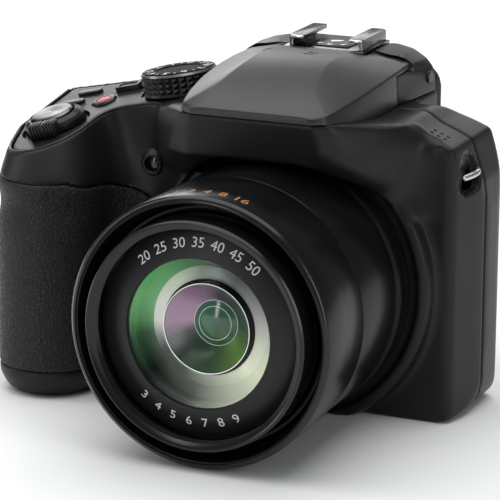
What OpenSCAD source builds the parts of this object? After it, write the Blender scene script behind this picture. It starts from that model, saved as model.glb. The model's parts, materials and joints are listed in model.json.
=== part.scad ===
// Bridge camera with a fixed long zoom, a pop-up flash and an electronic viewfinder.
// The lens looks along -Y, +Z is up, and the origin is the mouth of the tripod socket.

/* [Body] */
// Width over the side walls
body_w = 130.2; // [128:0.2:138]
// Front wall, ahead of the tripod socket
front_d = 11.5; // [11:0.25:12.5]
// Rear wall, behind the tripod socket
rear_d = 20; // [19:0.5:23]
// Height of the shoulders
shoulder_h = 79.2; // [78:0.2:81]
// Joint between the front and rear covers, behind the tripod socket
split_y = 3.5; // [3:0.25:4]
// Wall of the moulded covers
wall = 2; // [1.7:0.1:2.3]
// Radius of the upright edges
edge_r = 6; // [4:0.5:7]
// Radius of the edges seen from the front
corner_r = 5; // [3:0.5:6]

/* [Fits] */
// Gap between pieces that are fixed together
seat_gap = 0.15; // [0.1:0.05:0.25]
// Gap round a piece that moves
run_gap = 0.3; // [0.2:0.05:0.4]
// Radial gap of a pin or shaft in its bore
pin_gap = 0.05; // [0.02:0.01:0.08]

// Gap beside an edge that swings past its neighbour
swing_gap = 0.6; // [0.5:0.05:0.8]

/* [Grip] */
// Centre of the grip's round front, in from the side wall
grip_in = 17.1; // [15:0.1:18]
// Centre of the grip's round front, along
grip_y = -23; // [-25:0.5:-22]
// Radius of the grip
grip_r = 13.8; // [13.4:0.2:15]
// Height at which the grip starts to dome
grip_h = 57; // [55:0.5:59]
// Depth of the rounding at the foot of the grip
foot_r = 3.6; // [2:0.2:4.4]
// Thickness of the rubber skin
rubber_t = 1.2; // [1:0.1:1.5]
// Lower edge of the rubber skin
rubber_low = 7.5; // [6:0.5:10]

/* [Sloping deck on the grip side] */
// Shutter button centre, in from the side wall
shutter_in = 14.1; // [13:0.1:15]
// Shutter button centre, along
deck_y = -13; // [-14:0.5:-12]
// Height of the deck at the shutter button
deck_h = 69.3; // [68.5:0.1:70]
// Lean of the deck towards the front, in degrees
deck_pitch = 12; // [10:1:14]
// Lean of the deck towards the grip side, in degrees
deck_roll = 14; // [12:1:16]
// Thickness of the top cover
deck_t = 3; // [2.6:0.1:3.4]

/* [Lens] */
// Lens axis, to the side of the socket
lens_x = 16.4; // [15:0.2:18]
// Clearance under the front flange
lens_lift = 0.3; // [0.3:0.1:1]
// Step of the front flange outside the barrel
flange_step = 0.7; // [0.4:0.1:0.8]
// Front of the fixed barrel, ahead of the socket
flange_front = 71; // [69:0.5:75]
// Radius of the plain part of the barrel
barrel_r = 34.2; // [33.8:0.1:34.4]
// Wall of the fixed barrel
barrel_t = 2.9; // [2.6:0.1:3.1]
// Wall of the two sliding tubes
tube_t = 1.3; // [1.2:0.1:1.5]
// Width of the front tube's rim outside the filter thread
filter_rim = 2.2; // [2:0.1:2.5]
// Depth of the filter thread
filter_d = 2.7; // [2.4:0.1:3]
// Distance by which the front tube stands ahead of the barrel
tube_proud = 3; // [2:0.25:4]
// Width of the ring round the front glass
ring_w = 7; // [6.4:0.1:7.6]
// Fall of the ring round the front glass towards its outer edge
ring_drop = 2.9; // [2:0.1:3.2]
// Radius of the curved face of the front glass
glass_curve = 62; // [50:1:90]
// Gap between the barrel and its recess in the front cover
recess_gap = 2.8; // [2.2:0.1:3.2]
// Floor of the lens recess, ahead of the socket
recess_floor = 15; // [14:0.5:17]

/* [Brow and hump] */
// Front face of the brow, ahead of the socket
brow_d = 32; // [31:0.5:34]
// Top edge of the brow, where the flash cover starts
brow_h = 81.7; // [80.5:0.1:82.5]
// Height of the hump's flat top
hump_h = 91.2; // [90.5:0.1:92]
// Half width of the hump
hump_half = 25.5; // [24.5:0.25:27]
// Half width of the flat on top of the hump
hump_flat = 14; // [13.5:0.25:15]
// Rear of the hump, behind the socket
hump_back = 31.5; // [30:0.5:34]
// Flash hinge axis behind the socket
hinge_y = 15.2; // [14.5:0.1:16]
// Flash hinge axis below the hump's flat top
hinge_sink = 2.8; // [2.4:0.1:3.2]
// Radius of the flash hinge pins
hinge_pin_r = 1.2; // [1:0.1:1.4]
// Radius of the round rear ends of the flash cover
cheek_r = 3.7; // [3.4:0.1:3.8]
// Shell of the flash cover
flash_wall = 1.8; // [1.5:0.1:2]

/* [Hot shoe] */
// Half width of the slot that takes an accessory foot
shoe_half = 9.35; // [9.3:0.05:9.5]
// Clear height of the slot
shoe_slot = 1.9; // [1.9:0.05:2.1]
// Half width of the channel between the lips
shoe_lip_half = 6.25; // [6:0.05:6.4]
// Sheet thickness of the shoe
shoe_t = 0.95; // [0.8:0.05:1.1]
// Length of the rails
shoe_len = 16.8; // [15:0.2:17]

/* [Viewfinder] */
// Half width of the viewfinder housing
finder_half = 24.5; // [23.5:0.25:25.5]
// Centre of the eyepiece above the base
finder_z = 71; // [70:0.25:72]
// Half width of the eyecup
eyecup_half = 20.5; // [19:0.25:22]
// Half height of the eyecup
eyecup_high = 11.5; // [11:0.25:12]
// Depth of the eyecup
eyecup_d = 14; // [10:0.5:16]
// Wall of the eyecup
eyecup_t = 4.5; // [3.5:0.25:5]

/* [Top controls] */
// Radius of the shutter button
shutter_r = 5.65; // [5:0.05:6]
// Travel of the shutter button
shutter_travel = 1.2; // [0.8:0.1:1.4]
// Outer radius of the zoom lever
lever_r = 8.8; // [8.4:0.1:9.4]
// Height of the zoom lever
lever_h = 4; // [3.4:0.1:4.6]
// Width of the zoom lever's tab
tab_w = 7.8; // [7:0.2:9]
// Reach of the tab outside the zoom lever
tab_reach = 1.6; // [1:0.2:2.4]
// Radius of the record button
record_r = 3.6; // [3:0.1:4]
// Length of the two bar buttons
bar_len = 7.4; // [6:0.2:8]
// Width of the two bar buttons
bar_w = 2.6; // [2.2:0.1:3]
// Travel of the small buttons
press = 0.6; // [0.4:0.1:0.8]
// Radius of the mode dial
dial_r = 10.4; // [9.5:0.1:10.8]
// Height of the mode dial
dial_h = 6.5; // [5.5:0.1:7.5]
// Lean of the mode dial towards the grip side, in degrees
dial_lean = 9; // [6:1:11]
// Travel of the power switch
switch_travel = 3; // [2:0.25:4]

/* [Rear controls] */
// Half width of the rear screen
screen_half = 36; // [34:0.5:37]
// Height of the rear screen
screen_h = 48; // [44:0.5:50]
// Thickness of the rear screen
screen_t = 1.6; // [1.2:0.1:2]
// Radius of the cursor pad
pad_r = 9.7; // [9:0.1:10.5]
// Radius of the set button
set_r = 4.2; // [3.6:0.1:4.6]
// Radius of the rear buttons
button_r = 3; // [2.4:0.1:3.4]
// Radius of the rear dial
wheel_r = 7.5; // [7:0.1:8]
// Thickness of the rear dial
wheel_t = 4.6; // [4:0.1:5.2]

/* [Base and doors] */
// Radius of the tripod thread's bore
socket_r = 2.55; // [2.5:0.05:2.6]
// Depth of the tripod thread
socket_d = 5.6; // [5:0.1:6]
// Radius of the tripod bush
bush_r = 4.5; // [4.2:0.1:4.8]
// Thickness of the base plate
base_t = 1.4; // [1.2:0.1:1.6]
// Thickness of the battery door
door_t = 1.8; // [1.6:0.1:2]
// Recess of the doors below the surface round them
door_sink = 0.3; // [0.2:0.05:0.4]
// Radius of the door hinge pins
door_pin_r = 0.6; // [0.5:0.05:0.7]
// Travel of the battery door latch
latch_travel = 2.5; // [2:0.25:3]

/* [Battery and card] */
// Thickness of the battery
battery_x = 16.4; // [15:0.2:17]
// Depth of the battery
battery_y = 35; // [32:0.5:36]
// Height of the battery
battery_z = 40; // [36:0.5:44]
// Thickness of the memory card
card_t = 2.1; // [2:0.05:2.2]

/* [Hidden] */
$fn = 48;

// Larger than the whole camera, for cutting blocks
big = 300;
half_w = body_w / 2;
grip_side = -half_w;
grip_x = grip_side + grip_in;
deck_x = grip_side + shutter_in;
lens_side = half_w;
flange_r = barrel_r + flange_step;
barrel_bore = barrel_r - barrel_t;
recess_r = barrel_r + recess_gap;
lens_z = flange_r + lens_lift;
tube_front = flange_front + tube_proud;
// The top cover ends against the hump here
hump_left = lens_x - hump_half - 0.5;
flash_low = brow_h + run_gap;
hinge_z = hump_h - hinge_sink;
// The flash cover's middle ends here, ahead of the hot shoe
flash_back = hinge_y - 7;
// Rear block of the hump starts here
block_front = hinge_y + cheek_r + 0.5;
// Half width of the block between the two rear ends of the flash cover
block_half = 12.3;
flash_lamp_half = 13.5;
shoe_floor = hump_h + 0.3;
shoe_front = hinge_y - 3.6;
shoe_plate_half = 11.55;
shoe_plate_front = flash_back + 0.8;
shoe_back = shoe_front + shoe_len;
shoe_top = shoe_floor + shoe_slot + shoe_t;
barrel_root = 6.5;
middle_r = barrel_bore - run_gap;
front_r = middle_r - tube_t - run_gap;
cell_r = front_r - tube_t - run_gap;
filter_r = front_r - filter_rim;
glass_r = filter_r - ring_w;
thread_relief = 0.6;
glass_apex = tube_front - filter_d - 0.15;
housing_r = recess_r - 4.5;
recess_high = lens_z + flange_r + 0.6;
lug_y = -3.2;
// Strap lug wires on the grip side and the lens side, as across and height
lug_spots = [[grip_side + 0.9, 62.4], [lens_side - 2.4, 65.4]];
lug_r = 0.9;
lug_half = 4.5;
// Record button, bar buttons and power switch on the deck, as across and along
record_at = [grip_side + 22.6, -1];
burst_at = [grip_side + 12.1, 1.2];
focus_at = [grip_side + 14.6, 7.2];
switch_at = [grip_side + 28.6, 5.5];
switch_size = [7, 3];
dial_at = [hump_left - 11, 1];
dial_base = shoulder_h - 0.9;
dial_stem_r = 2;
stem_r = 2.6;
stem_d = 4.5;
// The cap stays clear of the deck when it is pressed
cap_low = shutter_travel + 0.2;
// Rear controls, as across and height
screen_at = [lens_x + 4, 31];
pad_at = [grip_side + 24.1, 26];
play_at = [grip_side + 34.1, 48];
lock_at = [grip_side + 33.1, 62];
view_at = [hump_left - 7.4, 66];
menu_at = [grip_side + 38.1, 11];
display_at = [grip_side + 8.1, 13];
rest_at = [grip_side + 12.6, 50];
rest_half = 9;
wheel_at = [grip_side + 18.1, 65.5];
wheel_y = rear_d - wheel_r + 2.4;
axle_r = 1.2;
axle_reach = 3.6;
button_front = rear_d - wall - 1.2;
button_back = rear_d + press + 0.3;
battery_at = [grip_x - battery_x / 2, -27, door_sink + door_t + 0.4];
card_x = battery_at[0] + battery_x + 0.5;
card_at = [card_x, -16, battery_at[2]];
card_d = 24;
card_h = 32;
door_left = grip_x - 9.6;
door_right = card_x + card_t + 1.6;
door_back = battery_at[1] + battery_y + 1;
door_front = -10;
door_hinge = [door_right + 2, door_sink + 0.95];
link_half = 0.5;
door_hinge_from = -7.5;
door_hinge_to = 0.5;
knuckle_r = 1.1;
latch_size = [8, 5, 0.9];
latch_at = [door_left + 3, -12];
terminal_low = 24;
terminal_high = 52;
terminal_front = 5.6;
terminal_hinge = [-half_w + 1.1, 12.9];
terminal_t = 1.6;
chassis_front = 5;
chassis_t = 1.2;
chassis_h = 70;
board_front = chassis_front + chassis_t + 3;
board_t = 1.2;
board_low = 8;
sensor_half = 12;
inner_left = grip_side + 35.1;
inner_right = lens_side - 7.1;
capacitor_r = 4.5;
bush_h = 6.4;
base_box = [[-10, -6], [lens_side - 13.1, 15]];
screw_spots = [[grip_side + 41.1, -6], [grip_side + 41.1, 14], [lens_side - 8.1, -5], [lens_side - 8.1, 13]];
screw_r = 1.5;
shank_r = 0.9;
shank_h = 5;
lamp_at = [grip_side + 42.1, 61.9];
lamp_r = 2.4;
lamp_rim_r = 4.2;
lamp_proud = 2.5;
speaker_at = [lens_side - 13.1, -2];
speaker_r = 6;
speaker_h = 3.2;
speaker_top = 70.6;
// Half width and half height of the eyepiece window
eyepiece = [11, 7.5];
diopter_at = [25, finder_z - 1];
diopter_r = 4.2;
diopter_t = 2.2;
diopter_stem_r = 1.5;
release_at = [24.5, hump_h - 6.8];
release_r = 2.6;
release_len = 5.9;
black = [0.06, 0.06, 0.065];
dark = [0.1, 0.1, 0.105];
grey = [0.3, 0.3, 0.32];
steel = [0.7, 0.7, 0.72];
glassy = [0.25, 0.4, 0.4];

// Height of the deck plane above a spot in plan
function deck_z(x, y) = deck_h + (cos(deck_pitch) * sin(deck_roll) * (x - deck_x)
    + sin(deck_pitch) * (y - deck_y)) / (cos(deck_pitch) * cos(deck_roll));

// Rounds every outer corner of a flat shape
module soft(r) {
    offset(r = r, $fn = 32) offset(delta = -r) children();
}

// Stands a flat shape, drawn as across and height, up between two places along Y
module stand(front, back) {
    translate([0, back, 0]) rotate([90, 0, 0]) linear_extrude(back - front) children();
}

// Stands a flat shape, drawn as along and height, up between two places across X
module stand_side(left, right) {
    translate([left, 0, 0]) rotate([90, 0, 90]) linear_extrude(right - left) children();
}

// Box between two corners
module block(low, high) {
    translate(low) cube(high - low);
}

// Puts a shape on the deck plane, with its +Z square to the deck
module on_deck(at) {
    translate([at[0], at[1], deck_z(at[0], at[1])]) rotate([deck_pitch, -deck_roll, 0]) children();
}

// Puts a shape on the lens axis, with its +Z pointing forwards
module on_lens() {
    translate([lens_x, 0, lens_z]) rotate([90, 0, 0]) children();
}

// Turns a profile, drawn as radius and forward distance, round the lens axis
module turn() {
    on_lens() rotate_extrude() children();
}

// Puts a shape on the rear, with its +Z pointing to the back
module on_rear(at, y) {
    translate([at[0], y, at[1]]) rotate([-90, 0, 0]) children();
}

module above_deck(d) {
    on_deck([deck_x, deck_y]) translate([-big / 2, -big / 2, d]) cube(big);
}

// Room of the top cover, grown downwards by a gap
module top_zone(gap) {
    intersection() {
        block([-big, -big, 0], [hump_left + gap, big, big]);
        union() {
            above_deck(-deck_t - gap);
            block([-big, -big, shoulder_h - deck_t - gap], [big, big, big]);
        }
    }
}

// Room between the two covers' outer faces and a wall of thickness i
module core_form(i) {
    intersection() {
        stand(-front_d + i, rear_d - i)
            offset(delta = -i) soft(corner_r) polygon([
                [-half_w, 0], [half_w, 0], [half_w, shoulder_h - 16.5], [half_w - 5.6, shoulder_h - 5.4],
                [half_w - 17, shoulder_h], [-half_w + 8, shoulder_h], [-half_w, shoulder_h - 15.5]]);
        linear_extrude(big)
            offset(delta = -i) soft(edge_r) translate([-half_w, -front_d])
                square([body_w, front_d + rear_d]);
        stand_side(-big, big)
            offset(delta = -i) soft(4) polygon([
                [-front_d - 20, 0], [rear_d, 0], [rear_d, shoulder_h - 15], [rear_d - 7, shoulder_h - 4],
                [rear_d - 16, shoulder_h], [-front_d - 20, shoulder_h]]);
    }
}

module disc(x, y, r, low, high) {
    translate([x, y, low]) cylinder(r = r, h = high - low, $fn = 32);
}

// Grip with its domed crown, drawn in by i all round
module grip_form(i) {
    hull() {
        disc(grip_x, grip_y, grip_r - foot_r - i, i, 5);
        disc(grip_x, grip_y, grip_r - i, 5 + i / 2, grip_h - i / 2);
        disc(grip_x - 1, grip_y + 8, grip_r - 3 - i, grip_h, grip_h + 12 - i);
        disc(-half_w + 9, -6, 9 - foot_r - i, i, 5);
        disc(-half_w + 9, -6, 9 - i, 5 + i / 2, grip_h + 4 - i);
        disc(grip_x + 8.6, -6, 6 - foot_r / 2 - i, i, 5);
        disc(grip_x + 8.6, -6, 6 - i, 5 + i / 2, grip_h + 4 - i);
    }
}

// Core and grip together, trimmed by the deck
module shell_form() {
    difference() {
        union() {
            core_form(0);
            grip_form(0);
        }
        above_deck(0);
    }
}

// Ring that rises from the front wall to the lens
module collar_form() {
    intersection() {
        turn() polygon([[0, front_d - wall], [recess_r + 5.2, front_d - wall], [recess_r + 5, front_d - 1],
            [recess_r + 3, recess_floor], [recess_r + 2.2, recess_floor + 1.5],
            [recess_r + 1.2, recess_floor + 7], [0, recess_floor + 7]]);
        block([-big, -big, 0], [big, big, shoulder_h]);
    }
}

// Outline of the brow from above
module brow_plan(front, front_half, side, side_half) {
    translate([lens_x, 0]) polygon([[-front_half, -front], [front_half, -front], [side_half, -side],
        [side_half + 1, -front_d + 2.5], [-side_half - 1, -front_d + 2.5], [-side_half, -side]]);
}

// Brow over the lens, running down into the collar at both sides
module brow_form() {
    hull() {
        translate([0, 0, brow_h - 1]) linear_extrude(1) brow_plan(brow_d, 18, brow_d - 8, hump_half);
        translate([0, 0, recess_high]) linear_extrude(1) brow_plan(brow_d, 19, brow_d - 14, 32);
        translate([0, 0, recess_high - 14]) linear_extrude(1)
            brow_plan(recess_floor + 6, 28, recess_floor, 33.5);
    }
}

// One upright slice of the hump, drawn about the lens axis
module hump_slice(y, low_half, mid_half, mid_h, flat_half, top_h) {
    translate([lens_x, 0, 0]) stand(y, y + 0.5)
        polygon([[-low_half, shoulder_h], [low_half, shoulder_h], [mid_half, mid_h], [flat_half, top_h],
            [-flat_half, top_h], [-mid_half, mid_h]]);
}

// Hump over the lens and viewfinder, drawn in by i
module hump_form(i) {
    hull() {
        hump_slice(-brow_d - 1 + i, 18.5 - i, 18.5 - i, brow_h, hump_flat - i, brow_h + 1 - i);
        hump_slice(-brow_d + 8 + i, hump_half - i, hump_half - i, brow_h, hump_flat + 0.5 - i,
            brow_h + 2.6 - i);
        hump_slice(flash_back, hump_half - i, hump_half - 3 - i, hump_h - 4, hump_flat - i, hump_h - i);
        hump_slice(hump_back - 4.5, hump_half - i, hump_half - 3 - i, hump_h - 4, hump_flat - i,
            hump_h - i);
        hump_slice(hump_back - 0.5 - i, hump_half - 2 - i, hump_half - 4 - i, hump_h - 7, hump_flat - 2 - i,
            hump_h - 4 - i);
    }
}

// Room of the flash cover: the front of the hump and the two rear ends that hold the hinge
module flash_zone() {
    block([-big, -big, flash_low], [big, flash_back, big]);
    for (side = [-1, 1]) {
        block([lens_x + side * (block_half + run_gap + big / 2) - big / 2, -big, flash_low],
            [lens_x + side * (block_half + run_gap + big / 2) + big / 2, hinge_y, big]);
        translate([lens_x + side * (block_half + run_gap + big / 2), hinge_y, hinge_z])
            rotate([0, 90, 0]) cylinder(r = cheek_r, h = big, center = true);
    }
}

module rounded_box(half_x, half_z, r) {
    soft(r) square([2 * half_x, 2 * half_z], center = true);
}

// Flat shape of the battery door, grown by a gap
module door_plan(gap) {
    offset(delta = gap) hull() {
        translate([grip_x, grip_y]) circle(r = 8.6, $fn = 32);
        translate([door_left, door_front]) square([door_right - door_left, door_back - door_front]);
    }
}

module rubber_band(gap) {
    block([-big, -big, rubber_low - gap], [grip_x + grip_r + 2, -front_d - 0.2 + gap, grip_h + gap]);
}

module front_cover() {
    color(black) difference() {
        union() {
            intersection() {
                shell_form();
                block([-big, -big, 0], [big, split_y - seat_gap, big]);
            }
            collar_form();
            brow_form();
            on_rear(lamp_at, -front_d - lamp_proud) cylinder(r = lamp_rim_r, h = lamp_proud + 1);
        }
        top_zone(seat_gap);
        difference() {
            core_form(wall);
            lug_room(wall);
        }
        intersection() {
            grip_form(rubber_t + wall);
            block([-big, -big, 0], [big, big, grip_h]);
        }
        // Seat of the rubber skin
        difference() {
            rubber_band(seat_gap);
            grip_form(rubber_t + seat_gap);
        }
        // Lens recess and the hole behind it
        intersection() {
            on_lens() translate([0, 0, recess_floor]) cylinder(r = recess_r, h = big);
            block([-big, -big, -big], [big, big, recess_high]);
        }
        on_lens() cylinder(r = housing_r + run_gap, h = recess_floor + 1);
        // Pocket that takes the folded flash lamp
        block([lens_x - 16, -brow_d + 1.6, recess_high + 2], [lens_x + 16, -front_d, brow_h + 1]);
        on_rear(lamp_at, -front_d - lamp_proud - 1) cylinder(r = lamp_r + seat_gap, h = big / 10);
        on_deck([deck_x, deck_y]) translate([0, 0, -stem_d - shutter_travel - run_gap])
            cylinder(r = stem_r + run_gap, h = 20);
        lug_recesses();
        base_cuts();
        for (i = [-1:1], j = [-1, 1])
            translate([speaker_at[0] + 3 + 1.8 * i, speaker_at[1] - 3.6 + 1.2 * j, speaker_top])
                cylinder(r = 0.5, h = 12);
    }
}

// Recesses of the two strap lugs, with the bores that hold the wires
module lug_recesses() {
    lug_room(0);
    for (spot = lug_spots)
        translate([spot[0], lug_y + lug_half + 1.5, spot[1]]) rotate([90, 0, 0])
            cylinder(r = lug_r + seat_gap, h = 2 * lug_half + 3);
}

// Room round both lug wires, grown by a wall
module lug_room(grow) {
    for (spot = lug_spots)
        block([sign(spot[0]) * half_w - 4.5 - grow, lug_y - lug_half - grow, spot[1] - 4 - grow],
            [sign(spot[0]) * half_w + 4.5 + grow, lug_y + lug_half + grow, spot[1] + 4.5 + grow]);
}

// Everything cut into the undersides of the front and rear covers
module base_cuts() {
    block([base_box[0][0] - seat_gap, base_box[0][1] - seat_gap, -1],
        [base_box[1][0] + seat_gap, base_box[1][1] + seat_gap, base_t + seat_gap]);
    translate([0, 0, -1]) cylinder(r = bush_r + seat_gap, h = bush_h + 2);
    for (spot = screw_spots) {
        translate([spot[0], spot[1], -1]) cylinder(r = screw_r + seat_gap, h = 2.5 + seat_gap);
        translate([spot[0], spot[1], 0]) cylinder(r = shank_r + seat_gap, h = shank_h + 3);
    }
    translate([0, 0, -1]) linear_extrude(door_sink + door_t + run_gap + 1) door_plan(run_gap);
    // Relief for the door's edge as it swings
    block([door_right - run_gap, door_front - 2, -1],
        [door_right + swing_gap + 0.15, door_back + run_gap, swing_gap]);
    // Throats for the battery and the card above the door
    block([battery_at[0] - seat_gap, battery_at[1] - seat_gap, 1],
        [battery_at[0] + battery_x + seat_gap, battery_at[1] + battery_y + seat_gap, battery_at[2] + 6]);
    block([card_x - seat_gap, card_at[1] - seat_gap, 1],
        [card_x + card_t + seat_gap, card_at[1] + card_d + seat_gap, battery_at[2] + 6]);
    // Hinge of the battery door
    translate([door_hinge[0], door_hinge_to + run_gap, door_hinge[1]]) rotate([90, 0, 0])
        cylinder(r = knuckle_r + run_gap, h = door_hinge_to - door_hinge_from + 2 * run_gap);
    block([door_right, door_hinge_from - run_gap, -1],
        [door_hinge[0] + knuckle_r + run_gap, door_hinge_to + run_gap, door_hinge[1]]);
    block([door_right, door_hinge_from - run_gap, -1],
        [door_hinge[0], door_hinge_to + run_gap, door_hinge[1] + knuckle_r + run_gap]);
    translate([door_hinge[0], door_hinge_to + 2, door_hinge[1]]) rotate([90, 0, 0])
        cylinder(r = door_pin_r + 0.01, h = door_hinge_to - door_hinge_from + 4);
}

module rear_cover() {
    color(black) difference() {
        union() {
            intersection() {
                shell_form();
                block([-big, split_y + seat_gap, 0], [big, big, big]);
            }
            intersection() {
                translate([lens_x, 0, finder_z - 1]) stand(split_y + seat_gap, hump_back)
                    rounded_box(finder_half, 13, 4);
                block([-big, -big, 0], [big, big, shoulder_h]);
            }
        }
        top_zone(seat_gap);
        difference() {
            core_form(wall);
            wheel_bosses();
        }
        // Inside of the viewfinder housing and its window
        block([lens_x - finder_half + wall, split_y - 1, finder_z - 12],
            [lens_x + finder_half - wall, hump_back - wall, shoulder_h - wall]);
        translate([lens_x, 0, finder_z]) stand(rear_d, hump_back + 1)
            rounded_box(eyepiece[0], eyepiece[1], 2);
        // Screen seat
        translate([screen_at[0], 0, screen_at[1]]) stand(rear_d - screen_t / 2, rear_d + 5)
            rounded_box(screen_half + seat_gap, screen_h / 2 + seat_gap, 2);
        on_rear(pad_at, rear_d - 5) cylinder(r = pad_r + run_gap, h = 8);
        for (at = [play_at, lock_at, view_at, menu_at, display_at])
            on_rear(at, rear_d - 5) cylinder(r = button_r + run_gap, h = 8);
        // Slot and axle bore of the rear dial
        translate([wheel_at[0], wheel_y, wheel_at[1] - wheel_t / 2 - run_gap])
            cylinder(r = wheel_r + run_gap, h = wheel_t + 2 * run_gap);
        translate([wheel_at[0], wheel_y, wheel_at[1] - wheel_t / 2 - axle_reach])
            cylinder(r = axle_r + pin_gap, h = wheel_t + 2 * axle_reach);
        translate([lens_x + finder_half - 4, diopter_at[0], diopter_at[1]]) rotate([0, 90, 0])
            cylinder(r = diopter_stem_r + pin_gap, h = 10);
        terminal_cuts();
        base_cuts();
    }
}

// Blocks inside the rear cover that hold the rear dial's axle
module wheel_bosses() {
    for (side = [-1, 1])
        translate([wheel_at[0], 0, wheel_at[1] + side * (wheel_t / 2 + run_gap + axle_reach / 2)])
            block([-4, wheel_y - 3.5, -axle_reach / 2], [4, rear_d, axle_reach / 2]);
}

// Seat and hinge of the terminal door on the grip side
module terminal_cuts() {
    block([-big, terminal_front - run_gap, terminal_low - run_gap],
        [-half_w + terminal_t + run_gap, terminal_hinge[1] + 1.4, terminal_high + run_gap]);
    translate([terminal_hinge[0], terminal_hinge[1], terminal_low - run_gap])
        cylinder(r = knuckle_r + run_gap, h = terminal_high - terminal_low + 2 * run_gap);
    translate([terminal_hinge[0], terminal_hinge[1], terminal_low - 2])
        cylinder(r = door_pin_r + 0.01, h = terminal_high - terminal_low + 4);
    // Holes for the sockets
    for (z = [terminal_low + 8, terminal_high - 8])
        block([-big, 6.5, z - 4.2], [-half_w + 6, 11.2, z + 4.2]);
}

module top_cover() {
    color(black) difference() {
        intersection() {
            shell_form();
            top_zone(0);
            block([-big, -big, 0], [hump_left, big, big]);
        }
        // Seats of the zoom lever and the mode dial
        on_deck([deck_x, deck_y]) translate([0, 0, -1]) cylinder(r = lever_r + run_gap + 0.4, h = 20);
        on_deck([deck_x, deck_y]) translate([0, 0, -20]) cylinder(r = stem_r + run_gap, h = 40);
        on_dial() translate([0, 0, -run_gap]) cylinder(r = dial_r + run_gap + 0.3, h = 30);
        on_dial() translate([0, 0, -20]) cylinder(r = dial_stem_r + pin_gap, h = 40);
        on_deck(record_at) translate([0, 0, -20]) cylinder(r = record_r + run_gap, h = 40);
        for (at = [burst_at, focus_at])
            on_deck(at) translate([0, 0, -20]) linear_extrude(40) bar_shape(run_gap);
        on_deck(switch_at) translate([0, 0, -20]) linear_extrude(40)
            square([switch_size[0] + switch_travel + 2 * run_gap, switch_size[1] + 2 * run_gap],
                center = true);
    }
}

module bar_shape(gap) {
    for (side = [-1, 1])
        translate([side * (bar_len - bar_w) / 2, 0]) circle(r = bar_w / 2 + gap);
    square([bar_len - bar_w, bar_w + 2 * gap], center = true);
}

// Puts a shape on the mode dial's axis, with its origin at the dial's underside
module on_dial() {
    translate([dial_at[0], dial_at[1], dial_base]) rotate([0, -dial_lean, 0]) children();
}

module hump_cover() {
    color(black) difference() {
        intersection() {
            hump_form(0);
            union() {
                block([hump_left - 5, -front_d + 2.5 + seat_gap, shoulder_h + seat_gap],
                    [big, big, brow_h]);
                block([lens_x - block_half, flash_back + swing_gap, shoulder_h + seat_gap],
                    [lens_x + block_half, big, big]);
                block([-big, hinge_y + run_gap, shoulder_h + seat_gap], [big, big, big]);
            }
        }
        // Room for the round ends of the flash cover
        for (side = [-1, 1]) {
            translate([lens_x + side * (block_half + big / 2), hinge_y, hinge_z]) rotate([0, 90, 0])
                cylinder(r = cheek_r + run_gap, h = big, center = true);
            block([lens_x + side * (block_half + big / 2) - big / 2, -big, hinge_z],
                [lens_x + side * (block_half + big / 2) + big / 2, block_front, big]);
        }
        translate([lens_x, hinge_y, hinge_z]) rotate([0, 90, 0])
            cylinder(r = hinge_pin_r + 0.01, h = 2 * block_half + 2, center = true);
        // Seat of the hot shoe
        block([lens_x - block_half - 0.1, flash_back, shoe_floor - shoe_t],
            [lens_x + block_half + 0.1, shoe_back + 0.6, big]);
        // Inside
        block([lens_x - hump_half + 4, block_front + 2, 0],
            [lens_x + hump_half - 4, hump_back - 3, hump_h - 7]);
        translate([lens_x, release_at[0], release_at[1]]) rotate([0, 90, 0])
            cylinder(r = release_r + run_gap, h = big);
    }
}

module base_plate() {
    color(black) difference() {
        block([base_box[0][0], base_box[0][1], 0], [base_box[1][0], base_box[1][1], base_t]);
        translate([0, 0, -1]) cylinder(r = bush_r + seat_gap, h = bush_h);
    }
}

module tripod_bush() {
    color(steel) difference() {
        cylinder(r = bush_r, h = bush_h);
        translate([0, 0, -1]) cylinder(r = socket_r, h = socket_d + 1);
    }
}

module grip_rubber() {
    color(dark) difference() {
        intersection() {
            grip_form(0);
            rubber_band(0);
        }
        grip_form(rubber_t);
    }
}

module thumb_rest() {
    color(dark) translate([rest_at[0], 0, rest_at[1]]) stand(rear_d, rear_d + 2.4)
        rounded_box(rest_half, rest_half, 4);
}

module chassis() {
    color(steel) difference() {
        union() {
            block([inner_left, chassis_front, wall + seat_gap],
                [inner_right, chassis_front + chassis_t, chassis_h]);
            for (x = [inner_left + 5, inner_right - 5], z = [14, 60])
                on_rear([x, z], chassis_front) cylinder(r = 2, h = board_front - chassis_front);
        }
        on_rear([lens_x, lens_z], chassis_front - 1) cylinder(r = 8, h = chassis_t + 2);
    }
}

module hot_shoe() {
    color(grey) {
        block([lens_x - shoe_plate_half, shoe_plate_front, shoe_floor - shoe_t + 0.05],
            [lens_x + shoe_plate_half, shoe_back, shoe_floor]);
        for (side = [-1, 1])
            translate([lens_x, 0, 0]) mirror([(1 - side) / 2, 0, 0]) {
                block([shoe_half, shoe_front, shoe_floor - 0.2],
                    [shoe_half + shoe_t + 0.15, shoe_back, shoe_top]);
                block([shoe_lip_half, shoe_front, shoe_floor + shoe_slot],
                    [shoe_half + shoe_t, shoe_back, shoe_top]);
            }
    }
}

module shoe_contacts() {
    color(dark) {
        block([lens_x - 5.6, shoe_front + 1.5, shoe_floor],
            [lens_x + 5.6, shoe_back - 1.5, shoe_floor + 0.3]);
        translate([lens_x, shoe_front + 8, shoe_floor + 0.2]) cylinder(r = 1.6, h = 0.3);
    }
}

module eyepiece_lens() {
    color(glassy) translate([lens_x, 0, finder_z]) stand(hump_back - wall - 0.6, hump_back - 0.3)
        rounded_box(eyepiece[0] - seat_gap, eyepiece[1] - seat_gap, 2);
}

module eyecup() {
    color(dark) translate([lens_x, 0, finder_z]) stand(hump_back + seat_gap, hump_back + eyecup_d)
        difference() {
            rounded_box(eyecup_half, eyecup_high, 6);
            rounded_box(eyecup_half - eyecup_t - 2, eyecup_high - eyecup_t, 3);
        }
}

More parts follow.
